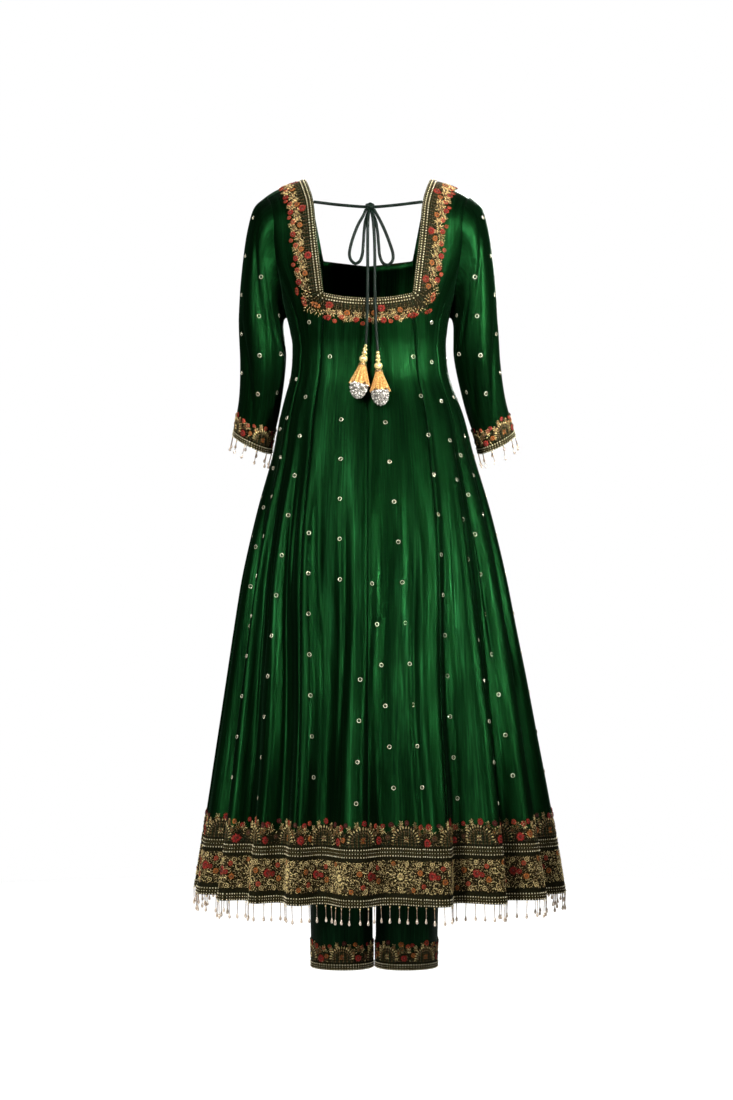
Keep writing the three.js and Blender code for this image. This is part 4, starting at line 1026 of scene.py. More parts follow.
class SUIT_OT_tie(bpy.types.Operator):
    """Makes the tie: two cords from the neck edges, the knot, two bow loops and two tails"""

    bl_idname = "suit.tie"
    bl_label = "Tie"

    def execute(self, context):
        cord = finishes()["cord"]
        thick = context.scene.suit_sizes.cord_thick
        bm = bmesh.new()
        bmesh.ops.create_uvsphere(bm, u_segments=28, v_segments=18, radius=1)
        for v in bm.verts:
            x, y, z = v.co
            # two turns of cord cross the front, so the knot has a lap at a slant and pinched ends
            lap = 0.16 * math.cos(5 * (z + 0.7 * x)) + 0.08 * math.cos(9 * x)
            v.co = Vector((8.4 * x * (1 + lap * 0.35), 5.6 * y * (1 + lap), 7.4 * z * (1 + lap * 0.3)))
            v.co = (v.co + Vector(KNOT)) * MM
        mesh = bpy.data.meshes.new("knot_wrap")
        bm.to_mesh(mesh)
        bm.free()
        mesh.shade_smooth()
        mesh.materials.append(cord)
        dress(put_in(bpy.data.objects.new("knot_wrap", mesh)), "cord_satin", "tie_knot")
        for name in ROUTES:
            piece, length = cord_piece(name, thick, cord)
            dress(piece, "cord_satin", name)
            start = [v * MM for v in ROUTES[name][0]]
            tail = "tail" in name
            "taut" if "bridge" in name else "hanging"
        return {"FINISHED"}


class SUIT_OT_tunic(bpy.types.Operator):
    """Lays the tunic's eleven silk panels on the CAD's panels, with their folds, creases and pressed seams"""

    bl_idname = "suit.tunic"
    bl_label = "Tunic panels"

    def execute(self, context):
        for panel in PANELS:
            self.panel(panel)
        return {"FINISHED"}

    def panel(self, panel):
        name, left, right, top = panel
        at_hem = np.full(1, float(HEM))
        wide = float(right(at_hem)[0] - left(at_hem)[0])
        middle = max(8, round(wide / 0.8))
        edge = np.array([0, 1, 2.4, 5]) / (wide * 5.2)
        across = np.concatenate([edge, np.linspace(edge[-1], 1 - edge[-1], middle)[1:-1], 1 - edge[::-1]])
        rows = 104

        def place(u, v):
            u = np.interp(u, np.linspace(0, 1, len(across)), across)
            start = top(u)
            level = start + (HEM - start) * (1 - v)
            point = on_panel(panel, u, level)
            # the pressed seam sinks a little at each edge
            width = wide / 360 * 2 * math.pi * np.hypot(point[..., 0], point[..., 1])
            near = np.minimum(u, 1 - u) * width
            sink = SEAM_DEEP * np.exp(-((near / SEAM_WIDE) ** 1.5)) * smooth(ARMPIT - 30, ARMPIT + 10, level)
            inward = unit(point * np.array([1, 1, 0]))
            return point - inward * sink[..., None]

        long = HEM - float(np.min(top(np.linspace(0, 1, 9))))
        hem_width = math.radians(wide) * HEM_RADIUS
        piece = grid_piece(name + "_silk", len(across) - 1, rows, place, finishes()["silk"], (hem_width, long))
        dress(piece, "green_silk", name)
        thicken(piece, SILK_WALL)
        flat, area = cut_of(place, len(across) - 1, rows)


class SUIT_OT_sleeves(bpy.types.Operator):
    """Makes the two three-quarter sleeves with their slanting folds"""

    bl_idname = "suit.sleeves"
    bl_label = "Sleeves"

    def execute(self, context):
        for name, side in (("right", 1), ("left", -1)):

            def place(u, v, side=side):
                turn = 360 * (1 - u) if side > 0 else 360 * u
                return on_sleeve(side, turn, LAST_RING * (1 - v))

            piece = grid_piece(f"sleeve_{name}_silk", 90, 90, place, finishes()["silk"], (310, 440), closed=True)
            dress(piece, "green_silk", f"sleeve_{name}")
            thicken(piece, SILK_WALL)
            flat, area = cut_of(place, 90, 90)
        return {"FINISHED"}


class SUIT_OT_trousers(bpy.types.Operator):
    """Makes the straight trousers: four quarters and the waistband"""

    bl_idname = "suit.trousers"
    bl_label = "Trousers"

    def execute(self, context):
        silk = finishes()["trouser_silk"]
        for name, side in (("right", 1), ("left", -1)):
            for face in ("back", "front"):
                flip = (side > 0) == (face == "back")

                def place(u, v, side=side, face=face, flip=flip):
                    across = u if flip else 1 - u
                    return on_leg(side, face, across, mix(TROUSER_HEM, TROUSER_TOP + 0.4, v))

                piece = grid_piece(f"trouser_{face}_{name}_silk", 32, 70, place, silk, (200, 930))
                dress(piece, "green_silk", f"trouser_{face}_{name}")
                thicken(piece, SILK_WALL)
                flat, area = cut_of(place, 32, 70)

        def waist(u, v):
            return self.band(360 * u, mix(TROUSER_TOP, WAISTBAND_TOP, v))

        band = grid_piece("waistband_silk", 96, 6, waist, silk, (720, 34), closed=True)
        dress(band, "green_silk", "trouser_waistband")
        thicken(band, WAISTBAND_WALL)
        flat, area = cut_of(waist, 96, 6)
        return {"FINISHED"}

    def band(self, degrees, level):
        s, c = np.sin(np.radians(degrees)), np.cos(np.radians(degrees))
        depth = np.where(c > 0, read(HIPS, "back", level), read(HIPS, "front", level))
        gather = 0.8 * np.sin(np.radians(degrees * 40))
        x = (read(HIPS, "half", level) + gather) * rounded(s) + read(SECTIONS, "shift", level)
        return np.stack([x, -rounded(c) * (depth + gather), -level], -1)


# Borders, as surfaces in mm along and up


def by_length(points):
    return np.concatenate([[0], np.cumsum(np.linalg.norm(np.diff(points, axis=0), axis=1))])


HEM_DIRECTIONS = np.linspace(-180, 180, 2881)
HEM_RUN = by_length(on_tunic(HEM_DIRECTIONS, np.full(2881, HEM - 40.0)))
HEM_ROUND = float(HEM_RUN[-1])


def hem_surface(s, t):
    """The skirt's border: s along from the centre front, t up from the hem."""
    return on_tunic(np.interp(s % HEM_ROUND, HEM_RUN, HEM_DIRECTIONS), HEM - t)


SHOULDER_LEVELS = np.linspace(0, 300, 301)
BACK_RUN = by_length(on_shoulders(np.full(301, 118.0), SHOULDER_LEVELS, False))
FRONT_RUN = by_length(on_shoulders(np.full(301, 118.0), SHOULDER_LEVELS, True))


def neck_path():
    """The neck edge laid flat: x across, and the distance down the back, or up from the front as a minus."""
    u = np.linspace(0, 1, 12)
    back_bottom = np.column_stack([75 * u, np.interp(back_neck(u), SHOULDER_LEVELS, BACK_RUN)])
    levels = np.linspace(NECK_BACK_CORNER, 0, 60)[1:]
    back = np.column_stack([read(NECK_BACK, "x", levels), np.interp(levels, SHOULDER_LEVELS, BACK_RUN)])
    levels = np.linspace(0, NECK_FRONT_CORNER, 40)[1:]
    front = np.column_stack([read(NECK_FRONT, "x", levels), -np.interp(levels, SHOULDER_LEVELS, FRONT_RUN)])
    front_bottom = np.column_stack([78 * (1 - u[1:]), -np.interp(mix(130, 138, u[1:]), SHOULDER_LEVELS, FRONT_RUN)])
    half = np.vstack([back_bottom, back, front, front_bottom])
    return np.vstack([half, (half * [-1, 1])[::-1][1:]])


NECK_PATH = neck_path()
NECK_RUN = by_length(NECK_PATH)
NECK_ROUND = float(NECK_RUN[-1])


def neck_surface(s, t):
    """The neck's border: s along the edge from the centre back to the left, t out from the edge."""
    s, t = np.broadcast_arrays(np.asarray(s, float), np.asarray(t, float))

    def at(d):
        d = -d % NECK_ROUND
        return np.stack([np.interp(d, NECK_RUN, NECK_PATH[:, 0]), np.interp(d, NECK_RUN, NECK_PATH[:, 1])], -1)

    reach = 2 + 0.35 * np.abs(t)
    ahead = unit(at(s + reach) - at(s - reach))
    flat = at(s) + np.stack([ahead[..., 1], -ahead[..., 0]], -1) * t[..., None]
    down = flat[..., 1]
    front = down < 0
    level = np.where(
        front, np.interp(-down, FRONT_RUN, SHOULDER_LEVELS), np.interp(down, BACK_RUN, SHOULDER_LEVELS)
    )
    return on_shoulders(flat[..., 0], level, front)


def cuff_surface(side):
    """A cuff's border: s along from the outer side, t up from the edge."""
    rings = np.linspace(LAST_RING, 6, 40)
    run = by_length(on_sleeve(side, np.full(40, 90.0), rings))
    turns = np.linspace(0, 360, 181)
    round_run = by_length(on_sleeve(side, turns, np.full(181, 8.8)))
    length = float(round_run[-1])

    def surface(s, t):
        turn = np.interp(s % length, round_run, turns)
        turn = turn if side < 0 else -turn
        return on_sleeve(side, turn, np.interp(t, run, rings, left=float(LAST_RING)))

    return surface, length


def leg_surface(side):
    """A trouser hem's border: s round the leg, t up from the hem."""
    turns = np.linspace(0, 360, 181)
    run = by_length(around_leg(side, turns, np.full(181, TROUSER_HEM - 20.0)))
    length = float(run[-1])

    def surface(s, t):
        turn = np.interp(s % length, run, turns)
        return around_leg(side, turn if side > 0 else -turn, TROUSER_HEM - t)

    return surface, length


class SUIT_OT_borders(bpy.types.Operator):
    """Embroiders the hem, neck, cuffs and trouser hems in metal thread, floss and beads"""

    bl_idname = "suit.borders"
    bl_label = "Embroidered borders"

    def execute(self, context):
        looks = finishes()
        hem = Work(3)
        count = 20
        for k in range(count):
            self.medallion(hem, HEM_ROUND * (k + 0.35) / count, HEM_ROUND / count, 20, 73)
        count = 27
        for k in range(count):
            self.garland(hem, HEM_ROUND * (k + 0.1) / count, HEM_ROUND / count, 96, 42, k)
        hem.sew("hem_border", hem_surface, looks)
        # the low strip runs from the tape to under the lace: dark cloth under the broad band, and painted shade in the
        # narrow strips beside the tape and the lace
        self.ground("hem_ground_low", hem_surface, HEM_ROUND, 13, lambda s: 80 + 0 * s)
        self.ground("hem_ground_high", hem_surface, HEM_ROUND, 93, self.scallops(HEM_ROUND, 27, 0.1, 118, 12))
        neck = Work(7)
        self.yoke(neck, NECK_ROUND)
        neck.sew("neck_border", neck_surface, looks)
        self.ground("neck_ground", neck_surface, NECK_ROUND, 10, lambda s: 34 + 2 * np.sin(s / 13))
        for name, side in (("right", 1), ("left", -1)):
            surface, length = cuff_surface(side)
            cuff = Work(11 + side)
            for k in range(4):
                self.garland(cuff, length * (k + 0.3) / 4, length / 4, 12, 34, k)
            cuff.sew(f"cuff_border_{name}", surface, looks)
            self.ground(f"cuff_ground_{name}", surface, length, 8, self.scallops(length, 4, 0.3, 31, 8))
            surface, length = leg_surface(side)
            leg = Work(17 + side)
            for k in range(5):
                self.garland(leg, length * (k + 0.75) / 5, length / 5, 13, 36, k)
            leg.sew(f"trouser_border_{name}", surface, looks)
            self.ground(f"trouser_ground_{name}", surface, length, 9, self.scallops(length, 5, 0.75, 31, 10))
        return {"FINISHED"}

    def scallops(self, length, count, start, low, rise):
        """The upper edge of the near-black strip, partly dark cloth and partly painted shade between the stitches: a
        dome at each repeat of the garland, and a dip between.
        """

        def edge(s):
            off = np.abs(((s / length * count - start + 0.5) % 1) - 0.5) * 2
            return low + rise * np.sqrt(np.maximum(0, 1 - (off / 0.62) ** 2)) * (off < 0.62)

        return edge

    # a near-black strip under a border: partly the dark cloth the work is sewn on, and partly painted shade in the gaps
    # between raised stitches and beside the laces
    def ground(self, name, surface, length, low, edge):
        def place(u, v):
            s = u * length
            point, _, _, away = frame_on(surface, s, mix(low, edge(s), v))
            return point + away * GROUND_LIFT

        strip = grid_piece(name, max(60, int(length / 4)), 7, place, finishes()["ground"], (length, 60), closed=True)
        dress(strip, "gold_lace")

    def garland(self, work, s, width, base, high, number):
        """One repeat of the flower border: a dome of gold leaves over upright strokes, then sprays and flowers."""
        chance = work.chance
        half, swap = 0.27 * width, number % 2
        for k in range(int(2 * half / STROKE_PITCH)):
            x = s - half + (k + 0.5) * STROKE_PITCH
            rise = base + high * (0.25 + 0.5 * math.sqrt(max(0, 1 - ((x - s) / half) ** 2)))
            work.line(("gold", "moss", "bronze")[k % 3], [(x, base), (x + chance.uniform(-1, 1), rise)], 4.5, 1.0)
        for k in range(15):
            a = math.pi * (1 - k / 14)
            x, y = s + half * math.cos(a), base + high * (0.2 + 0.52 * math.sin(a))
            work.stitch("bright_gold", x, y, math.degrees(a) + chance.uniform(-14, 14), 6.6, 1.8, 1.5)
            x, y = s + half * 0.78 * math.cos(a), base + high * (0.16 + 0.42 * math.sin(a))
            work.stitch("gold", x, y, math.degrees(a) + 25, 5, 1.5, 1.2)
        size = min(width, high * 1.7) / 70
        away = [(s, base + high * 0.3, half * 0.9)]
        work.burst(s, base + high * 0.26, 7.2 * size, ("bright_gold", "orange")[swap], heart="red")
        flowers = [
            ("red coral garnet", 0.04, 0.88, 7.0), ("red", 0.43, 0.19, 9.6), ("coral garnet orange", 0.33, 0.8, 6.2),
            ("orange bronze", -0.36, 0.3, 6.8), ("coral red garnet", -0.32, 0.84, 5.8), ("red coral", 0.52, 0.72, 6.2),
        ]
        for threads, x, y, r in flowers:
            thread = chance.choice(threads.split())
            cs, ct = s + x * width + chance.uniform(-3, 3), base + y * high + chance.uniform(-2.5, 2.5)
            work.flower(thread, cs, ct, r * size * chance.uniform(0.8, 1.1), turn=chance.uniform(0, 60))
            away.append((cs, ct, r * size * 0.9))
        sprigs = ((-0.46, 0.6, 7), (-0.25, 0.62, 6), (0.3, 0.46, 6.5), (0.42, 0.56, 7), (-0.12, 0.8, 6), (0.2, 0.74, 6))
        for x, y, r in sprigs:
            cs, ct = s + x * width + chance.uniform(-1.5, 1.5), base + y * high + chance.uniform(-1.5, 1.5)
            work.burst(cs, ct, r * size, ("bright_gold", "gold")[x > 0], turn=chance.uniform(0, 40))
            work.spray(cs, ct + r * size * 0.5, 90 + chance.uniform(-30, 30), 110, 4, r * size * 0.9)
            away.append((cs, ct, r * size * 0.7))

        def inside(x, y):
            off = abs(((x - s) / width + 0.5) % 1 - 0.5)
            return y < base + high * (0.62 + 0.16 * math.cos(off * 12))

        leaves = ["gold", "bronze", "bright_gold", "bronze", "moss"]
        work.fill(leaves, inside, s - width / 2, s + width / 2, base + 1, base + high * 0.8, 3.5, away)

    def medallion(self, work, s, width, low, high):
        """One repeat of the broad border: a rayed medallion, red and orange flowers, scrolls and rows of rosettes."""
        chance = work.chance
        middle = (low + high) / 2
        left = s - width / 2
        rings = ((4.5, 6.5, "bright_gold"), (11, 7, "bright_gold"), (18, 7, "bright_gold"), (24, 5, "gold"))
        for k in range(16):
            a = math.radians(22.5 * k)
            for near, length, thread in rings:
                turn = a + (near > 10) * 0.2 + chance.uniform(-0.1, 0.1)
                bend = math.degrees(turn) + (near > 15) * chance.uniform(-35, 35)
                work.stitch(thread, s + near * math.cos(turn), middle + near * math.sin(turn), bend, length, 1.5, 1.5)
        work.bead("bright_gold", s, middle, 3, 2.8)
        away = [(s, middle, 9)]
        flowers = (
            ("red", 0.5, 0.05, 9.5), ("orange", 0.31, 0.14, 6.5), ("orange", -0.33, -0.12, 6.5),
            ("coral", 0.36, -0.27, 5.5), ("coral", -0.35, 0.28, 5.5), ("red", -0.42, 0.02, 5.5),
        )
        for thread, x, y, r in flowers:
            cs, ct = s + x * width, middle + y * (high - low)
            work.flower(thread, cs, ct, r, turn=chance.uniform(0, 60))
            away.append((cs, ct, r * 0.9))
        scrolls = (
            (0.27, -0.16, 160, -300), (-0.24, 0.18, -20, -300), (0.42, 0.26, 200, 280), (-0.45, -0.26, 20, 280),
            (0.22, 0.3, 120, -260), (-0.2, -0.3, -60, -260),
        )
        for x, y, start, sweep in scrolls:
            work.scroll("bright_gold", s + x * width, middle + y * (high - low), 7, start, sweep, 1.5)
        for row, ct in ((0, low + 5.5), (1, high - 5.5)):
            for k in range(5):
                cs = left + (k + 0.5 + 0.5 * row) * width / 5
                if (k + 2 * row) % 5 == 3:
                    work.flower("orange", cs, ct, 5.2)
                else:
                    work.rosette(cs, ct, 4.6)
                away.append((cs, ct, 4.4))
        leaves = ["gold", "bright_gold", "bright_gold", "bronze"]
        work.fill(leaves, lambda x, y: True, left, left + width, low, high, 2.8, away)

    def yoke(self, work, length):
        """The neck border: strokes square to the lace, a garland of gold flowers, and red and coral ones outside it."""
        chance = work.chance
        count = int(length / STROKE_PITCH)
        for k in range(count):
            s = (k + 0.5) * length / count
            stroke = [(s, 13), (s + chance.uniform(-1, 1), 23 + chance.uniform(-3, 1))]
            work.line(("gold", "moss", "bronze")[k % 3], stroke, 4, 0.8)
        sprigs = ((-0.42, 27, 6.4), (-0.22, 31, 6.8), (-0.02, 29, 6), (0.15, 35, 6.6), (0.34, 38, 6), (0.5, 31, 6.6))
        count = round(length / NECK_REPEAT)
        for k in range(count):
            s = (k + 0.5) * length / count
            away = []
            layout = [
                ("orange", 0.28, 27, 6.2), ("red", -0.05, 40, 6.4), ("coral", 0.46, 38, 5.8), ("coral", -0.3, 44, 4.6),
            ]
            if k % 2:
                layout.append(("red", 0, 19, 8.4))
            for thread, x, t, r in layout:
                cs, ct = s + x * NECK_REPEAT, t + chance.uniform(-1.5, 1.5)
                work.flower(thread, cs, ct, r, turn=chance.uniform(0, 60))
                away.append((cs, ct, r * 0.9))
            for x, t, r in sprigs:
                cs, ct = s + x * NECK_REPEAT + chance.uniform(-1, 1), t + chance.uniform(-1.5, 1.5)
                work.burst(cs, ct, r, turn=chance.uniform(0, 40))
                work.spray(cs, ct + 3, 90 + chance.uniform(-40, 40), 120, 4, r * 0.9)
                away.append((cs, ct, r * 0.7))
            reach = (s - NECK_REPEAT / 2, s + NECK_REPEAT / 2)
            work.fill(["gold", "bright_gold", "bronze", "bronze"], lambda x, y: True, *reach, 21, 36, 3.8, away)


class SUIT_OT_laces(bpy.types.Operator):
    """Makes the beaded laces on the neck, tunic hem, cuffs and trouser hems"""

    bl_idname = "suit.laces"
    bl_label = "Laces"

    def execute(self, context):
        neck_rows = ((0.4, 2.5, 4.4), (0.86, 2.5, 4.4), (0.1, 1.4, 3.6))
        self.lace("neck_lace", neck_surface, NECK_ROUND, 0, NECK_LACE_WIDE, ["neck_lace"], 1.5, neck_rows)
        self.lace("hem_lace", hem_surface, HEM_ROUND, HEM - HEM_LACE_BOTTOM, HEM - HEM_LACE_TOP, ["hem_lace"])
        self.lace("hem_tape", hem_surface, HEM_ROUND, 0, HEM_TAPE, ["hem_bead_fringe"])
        for name, side in (("right", 1), ("left", -1)):
            surface, length = cuff_surface(side)
            self.lace(f"cuff_tape_{name}", surface, length, 0, TAPE_WIDE, [f"cuff_bead_fringe_{name}"])
            surface, length = leg_surface(side)
            self.lace(f"trouser_lace_{name}", surface, length, 0, TAPE_WIDE, [f"trouser_hem_lace_{name}"])
        return {"FINISHED"}

    # rows of beads: where across the lace, their size and their pitch
    rows = ((0.13, 2.4, 4.6), (0.87, 2.4, 4.6), (0.5, 1.5, 4.6))

    def lace(self, name, surface, length, low, high, nodes, out=1.2, rows=rows):
        looks = finishes()
        columns = max(60, int(length / 4))

        def place(u, v):
            s, t = u * length, mix(low, high, v)
            point, _, _, away = frame_on(surface, s, t)
            swell = out * (0.45 + 0.55 * np.sin(np.pi * np.clip(v, 0.001, 0.999)) ** 0.4)
            return point + away * swell[:, None]

        strip = grid_piece(name + "_strip", columns, 5, place, looks["lace_ground"], (length, high - low), closed=True)
        dress(strip, "gold_lace", *nodes)
        thicken(strip, LACE_WALL)
        work = Work(5)
        wide = high - low
        for share, size, pitch in rows:
            count = int(length / pitch)
            for k in range(count):
                work.bead("lace_gold", (k + 0.5) * length / count, low + wide * share, size)
        count = int(length / 3.4)
        for k in range(count):
            s = (k + 0.5) * length / count
            for side, turn in ((-1, 55), (1, 125)):
                # a braid of slanted strokes between the two rows of large beads
                across = (rows[0][0] + rows[1][0]) / 2 + 0.26 * side * (rows[1][0] - rows[0][0])
                work.stitch("bronze", s + 0.85 * side, low + wide * across, turn, wide * 0.25, 1.0, 0.8)
        work.sew(name, surface, looks, lift=out)


class SUIT_OT_sequins(bpy.types.Operator):
    """Scatters ring sequins with centre beads in staggered columns over the tunic and sleeves"""

    bl_idname = "suit.sequins"
    bl_label = "Ring sequins"

    def execute(self, context):
        sizes = context.scene.suit_sizes
        gap, size = sizes.butti_gap / MM, sizes.butti_size / MM
        places, axes = [], []

        def take(surface, s, t):
            point, along, up, out = frame_on(surface, np.array(s, float), np.array(t, float), 0.5)
            places.append(point + out * 0.4)
            axes.append(np.stack([along, up, out], 1))

        # frame_on wants surfaces measured in about mm: how many degrees one is, and how many one ring of a sleeve is
        turn_each, ring_long = 0.3, 40

        def by_hem(s, t):
            return on_tunic(s * turn_each, -t)

        s, t = [], []
        for first, last, top, bottom in zip(*BUTTI_COLUMNS.values()):
            for level in np.arange(top, bottom, gap):
                s.append(mix(first, last, (level - top) / (bottom - top)) / turn_each)
                t.append(-level)
        take(by_hem, s, t)
        for side in (1, -1):
            for k in range(6):
                turn = 25 + 60 * k
                rings = np.linspace(0.9, 8.2, 60)
                run = by_length(on_sleeve(side, np.full(60, float(turn)), rings))
                at = np.arange(18 + (gap / 2 if k % 2 else 0), run[-1] - 34, gap)
                found = np.interp(at, run, rings)

                def on_arm(s, t, side=side):
                    return on_sleeve(side, -s if side > 0 else s, -t / ring_long)

                take(on_arm, np.full(len(at), float(turn)) * (-1 if side > 0 else 1), -found * ring_long)
        places, axes = np.concatenate(places), np.concatenate(axes)
        looks = finishes()
        for name, shape, rise, wide, look in (
            ("sequin_rings", ring_shape(0.085, 14, 3), 0.0, size, "sequin"),
            ("sequin_beads", ball(5, 3), 0.3, 1.2, "gold"),
        ):
            across = np.full((len(places), 3), wide)
            dress(many(name, shape, places + axes[:, 2] * rise, axes, across, looks[look]), "gold_lace")
        return {"FINISHED"}


class SUIT_OT_drops(bpy.types.Operator):
    """Hangs the bead drops from the hem and the cuffs"""

    bl_idname = "suit.drops"
    bl_label = "Bead drops"

    def execute(self, context):
        sizes = context.scene.suit_sizes
        chance = np.random.default_rng(23)
        s = (np.arange(HEM_DROPS) + 0.5) * HEM_ROUND / HEM_DROPS
        down = np.array([0.0, 0.0, -1.0]) + chance.uniform(-0.04, 0.04, (HEM_DROPS, 3))
        self.hang("hem", hem_surface, s, down, sizes.drop_length / MM, chance)
        for name, side in (("right", 1), ("left", -1)):
            surface, length = cuff_surface(side)
            s = (np.arange(CUFF_DROPS) + 0.5) * length / CUFF_DROPS
            down = np.array([0.24 * side, 0.1, -1.0]) + chance.uniform(-0.07, 0.07, (CUFF_DROPS, 3))
            self.hang(f"cuff_{name}", surface, s, down, sizes.cuff_drop_length / MM, chance)
        return {"FINISHED"}

    def hang(self, name, surface, s, down, length, chance):
        looks = finishes()
        root, _, _, out = frame_on(surface, s, np.zeros(len(s)))
        root = root + out * 1.0
        down = unit(down)
        side = unit(np.cross(down, out))
        axes = np.stack([side, -np.cross(side, down), -down], 1)
        long = length * chance.uniform(0.9, 1.0, len(s))
        size = np.column_stack([np.ones(len(s)), np.ones(len(s)), long])
        thread = spun([(0, 0), (0.65, 0), (0.65, -0.3), (0.5, -0.76), (0, -0.76)], 6)
        seed = spun([(0, -0.03), (1.1, -0.06), (1.1, -0.1), (0, -0.13)], 8)
        drop = spun([(0, -0.66), (0.9, -0.72), (1.9, -0.84), (2.2, -0.9), (1.8, -0.96), (0.8, -0.995), (0, -1)], 10)
        dress(many(f"{name}_drop_threads", thread, root, axes, size, looks["strung"]), "gold_lace")
        dress(many(f"{name}_drop_seeds", seed, root, axes, size, looks["bright_gold"]), "gold_lace")
        dress(many(f"{name}_drop_pearls", drop, root, axes, size, looks["pearl"]), "gold_lace")


class SUIT_OT_tassels(bpy.types.Operator):
    """Makes the two tassels: stacked beads, a pleated bell of gold tissue and a dome of small beads"""

    bl_idname = "suit.tassels"
    bl_label = "Tassels"

    def execute(self, context):
        looks = finishes()
        for name, how in TASSELS.items():
            out, side = math.radians(how["out"]), math.radians(how["side"])
            at = np.array(how["at"])

            def hang(p, out=out, side=side, at=at):
                p = np.asarray(p, float)
                x, y, z = p[..., 0], p[..., 1], p[..., 2]
                # leans sideways about Y, then away from the cloth about X
                x, z = x * math.cos(side) - z * math.sin(side), x * math.sin(side) + z * math.cos(side)
                y, z = y * math.cos(out) + z * math.sin(out), -y * math.sin(out) + z * math.cos(out)
                return np.stack([x, y, z], -1) + at

            self.stack(name, hang, looks)
            self.bell(name, hang, looks)
            self.dome(name, hang, looks)
        return {"FINISHED"}

    def stack(self, name, hang, looks):
        rows = []
        for top, high, radius in ((0, 6, 2.6), (6, 7, 3.8), (13, 6, 4.6), (19, 14, 6.6)):
            for k in range(9):
                a = math.pi * k / 8
                rows.append((0.34 * radius + 0.66 * radius * math.sin(a) ** 0.7, -top - high * (0.02 + 0.96 * k / 8)))
        heights = np.array([r[1] for r in rows])
        radii = np.array([r[0] for r in rows])

        def place(u, v):
            z = np.interp(v, np.linspace(0, 1, len(rows)), heights[::-1])
            r = np.interp(v, np.linspace(0, 1, len(rows)), radii[::-1])
            facets = 1 + 0.05 * np.cos(np.radians(360 * u) * 8) * (z < -19)
            turn = np.radians(360 * u)
            closed = np.where((v <= 0) | (v >= 1), 0.02, 1)
            return hang(np.stack([r * facets * closed * np.cos(turn), r * facets * closed * np.sin(turn), z], -1))

        rings = len(rows) - 1
        piece = grid_piece(f"tassel_stack_{name}", 24, rings, place, looks["bright_gold"], (30, 33), closed=True)
        dress(piece, "gold_lace", f"tassel_beads_{name}")

    def bell(self, name, hang, looks):
        chance = np.random.default_rng(31 + len(name))
        phase = chance.uniform(0, 6.28, 3)

        def place(u, v):
            share = 1 - v
            turn = 2 * np.pi * u
            pleat = np.sin(turn * 13 + phase[0] + 0.8 * np.sin(turn * 3)) + 0.35 * np.sin(turn * 29 + phase[1])
            r = mix(5.2, 16.6, share**1.15) + pleat * 1.5 * share
            z = -mix(33.3, 70.5, share) + share**3 * (1.6 * np.sin(turn * 5 + phase[2]) + 0.9 * np.sin(turn * 11))
            return hang(np.stack([r * np.cos(turn), r * np.sin(turn), z], -1))

        piece = grid_piece(f"tassel_tissue_{name}", 160, 24, place, looks["tissue"], (100, 40), closed=True)
        dress(piece, "gold_tissue", f"tassel_bell_{name}")
        thicken(piece, TISSUE_WALL)

        def band(u, v):
            turn = 2 * np.pi * u
            r = 6.3 + 0.5 * np.sin(v * np.pi) + 0 * u
            return hang(np.stack([r * np.cos(turn), r * np.sin(turn), -mix(38.2, 34.2, v)], -1))

        collar = grid_piece(f"tassel_collar_{name}", 40, 6, band, looks["gold"], (40, 4), closed=True)
        dress(collar, "gold_tissue")
        thicken(collar, COLLAR_WALL)

    def dome(self, name, hang, looks):
        chance = np.random.default_rng(41 + len(name))
        rows = []
        for k, down in enumerate((5, 20, 36, 52, 68, 84)):
            count = max(1, round(2 * math.pi * 14.2 * math.cos(math.radians(down)) / 4.5))
            for j in range(count):
                turn = 2 * math.pi * (j + 0.5 * (k % 2) + chance.uniform(-0.2, 0.2)) / count
                low = math.radians(min(88, down + chance.uniform(-4.5, 4.5)))
                r = 14.2 * math.cos(low)
                rows.append((r * math.cos(turn), r * math.sin(turn), -71.5 - 22.3 * math.sin(low)))
        places = hang(np.array(rows))
        axes = np.tile(np.eye(3), (len(places), 1, 1))
        size = chance.uniform(3.4, 5.2, (len(places), 1))
        beads = many(f"tassel_dome_{name}", ball(8, 6), places, axes, np.tile(size, (1, 3)), looks["silver"])
        dress(beads, "crystal", f"tassel_bead_dome_{name}")

        def core(u, v):
            turn, down = 2 * np.pi * u, np.radians(90 * (1 - v))
            r = 13 * np.cos(down)
            return hang(np.stack([r * np.cos(turn), r * np.sin(turn), -71.3 - 21 * np.sin(down)], -1))

        heart = grid_piece(f"tassel_heart_{name}", 32, 12, core, looks["silver_wire"], (80, 30), closed=True)
        dress(heart, "crystal")


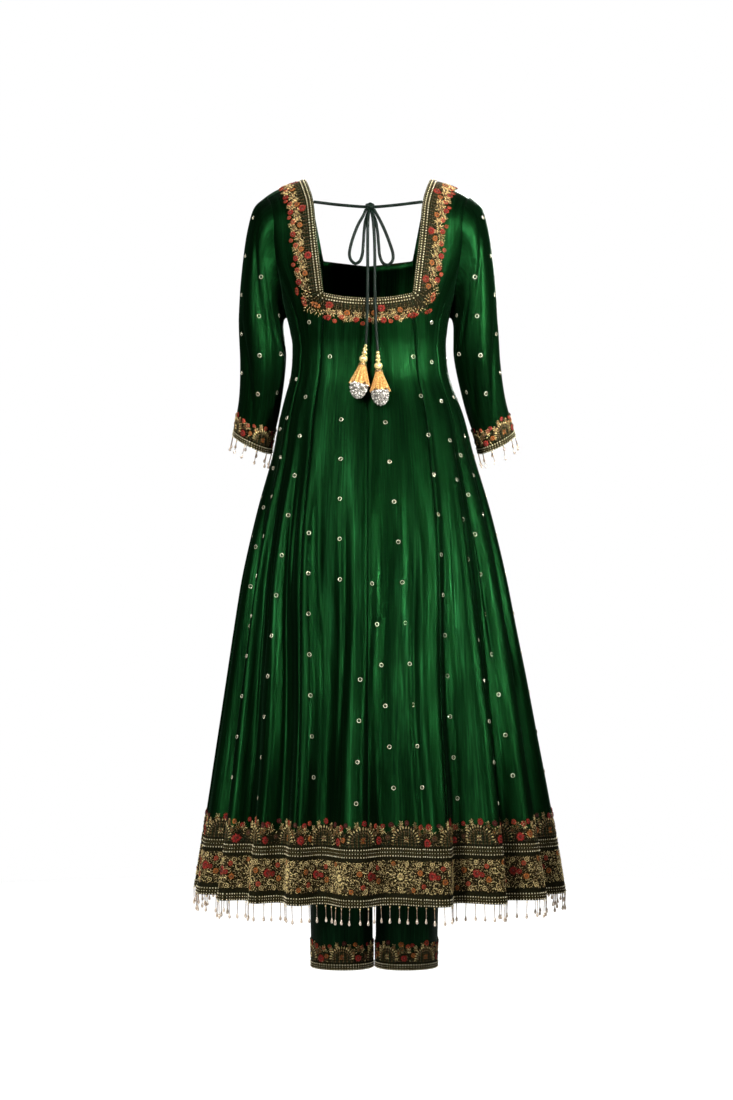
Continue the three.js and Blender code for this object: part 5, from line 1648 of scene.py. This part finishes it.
class SUIT_OT_studio(bpy.types.Operator):
    """Sets the pale studio: a lit table under the suit, white air and tall soft lamps on both sides"""

    bl_idname = "suit.studio"
    bl_label = "Studio"

    def execute(self, context):
        bm = bmesh.new()
        bmesh.ops.create_circle(bm, cap_ends=True, cap_tris=True, segments=96, radius=2.4)
        bmesh.ops.translate(bm, verts=bm.verts, vec=(0, 0.6, -1.514))
        mesh = bpy.data.meshes.new("floor")
        bm.to_mesh(mesh)
        bm.free()
        mesh.materials.append(paper("lit_paper", "#666665"))
        put_in(bpy.data.objects.new("floor", mesh))
        for name, place, aim, size, power, spread in (
            ("key_lamp", (-1.9, -3.5, 0.95), (0, 0, -0.75), (0.8, 2.4), 80, 90),
            ("side_lamp", (2.6, -2.6, 0.6), (0.33, 0, -0.2), (0.8, 1.2), 15, 18),
            ("front_lamp", (0.9, 4.0, 1.3), (0, 0, -0.6), (0.8, 2.4), 118, 90),
            ("top_lamp", (0, 1.3, 2.9), (0, 0.9, -1.5), (2.6, 2.6), 50, 180),
        ):
            light = bpy.data.lights.new(name, "AREA")
            light.shape = "RECTANGLE"
            light.size, light.size_y = size
            light.energy = power
            light.spread = math.radians(spread)
            lamp = put_in(bpy.data.objects.new(name, light))
            lamp.location = place
            lamp.rotation_euler = (Vector(aim) - Vector(place)).to_track_quat("-Z", "Y").to_euler()
        # the air is white where it is looked at, and lends the cloth only a little light
        world = bpy.data.worlds.new("studio_air")
        world.use_nodes = True
        world.node_tree.nodes.clear()
        ray = add(world, "ShaderNodeLightPath")
        glow = add(world, "ShaderNodeBackground", {"Color": linear("#F4F5F6"), "Strength": 0.04})
        white = add(world, "ShaderNodeBackground", {"Color": linear("#FFFFFF"), "Strength": 1.0})
        air = add(world, "ShaderNodeMixShader", None, {0: (ray, "Is Camera Ray"), 1: (glow, 0), 2: (white, 0)})
        add(world, "ShaderNodeOutputWorld", None, {"Surface": (air, 0)})
        context.scene.world = world
        context.scene.view_settings.view_transform = "Standard"
        return {"FINISHED"}


class SUIT_PT_panel(bpy.types.Panel):
    bl_label = "Suit"
    bl_idname = "SUIT_PT_panel"
    bl_space_type = "VIEW_3D"
    bl_region_type = "UI"
    bl_category = "Suit"

    def draw(self, context):
        column = self.layout.column(align=True)
        for settings in (context.scene.suit_looks, context.scene.suit_sizes):
            for name in type(settings).__annotations__:
                column.prop(settings, name)
        for step in STEPS:
            column.operator(step.bl_idname)


STEPS = (
    SUIT_OT_camera,
    SUIT_OT_tie,
    SUIT_OT_tunic,
    SUIT_OT_sleeves,
    SUIT_OT_trousers,
    SUIT_OT_laces,
    SUIT_OT_borders,
    SUIT_OT_sequins,
    SUIT_OT_drops,
    SUIT_OT_tassels,
    SUIT_OT_studio,
)
CLASSES = (SuitLooks, SuitSizes, SUIT_PT_panel, *STEPS)


def register():
    for kind in CLASSES:
        bpy.utils.register_class(kind)
    bpy.types.Scene.suit_looks = bpy.props.PointerProperty(type=SuitLooks)
    bpy.types.Scene.suit_sizes = bpy.props.PointerProperty(type=SuitSizes)


def unregister():
    del bpy.types.Scene.suit_looks
    del bpy.types.Scene.suit_sizes
    for kind in reversed(CLASSES):
        bpy.utils.unregister_class(kind)


def main():
    register()
    for step in STEPS:
        group, name = step.bl_idname.split(".")
        getattr(getattr(bpy.ops, group), name)()


if __name__ == "__main__":
    main()
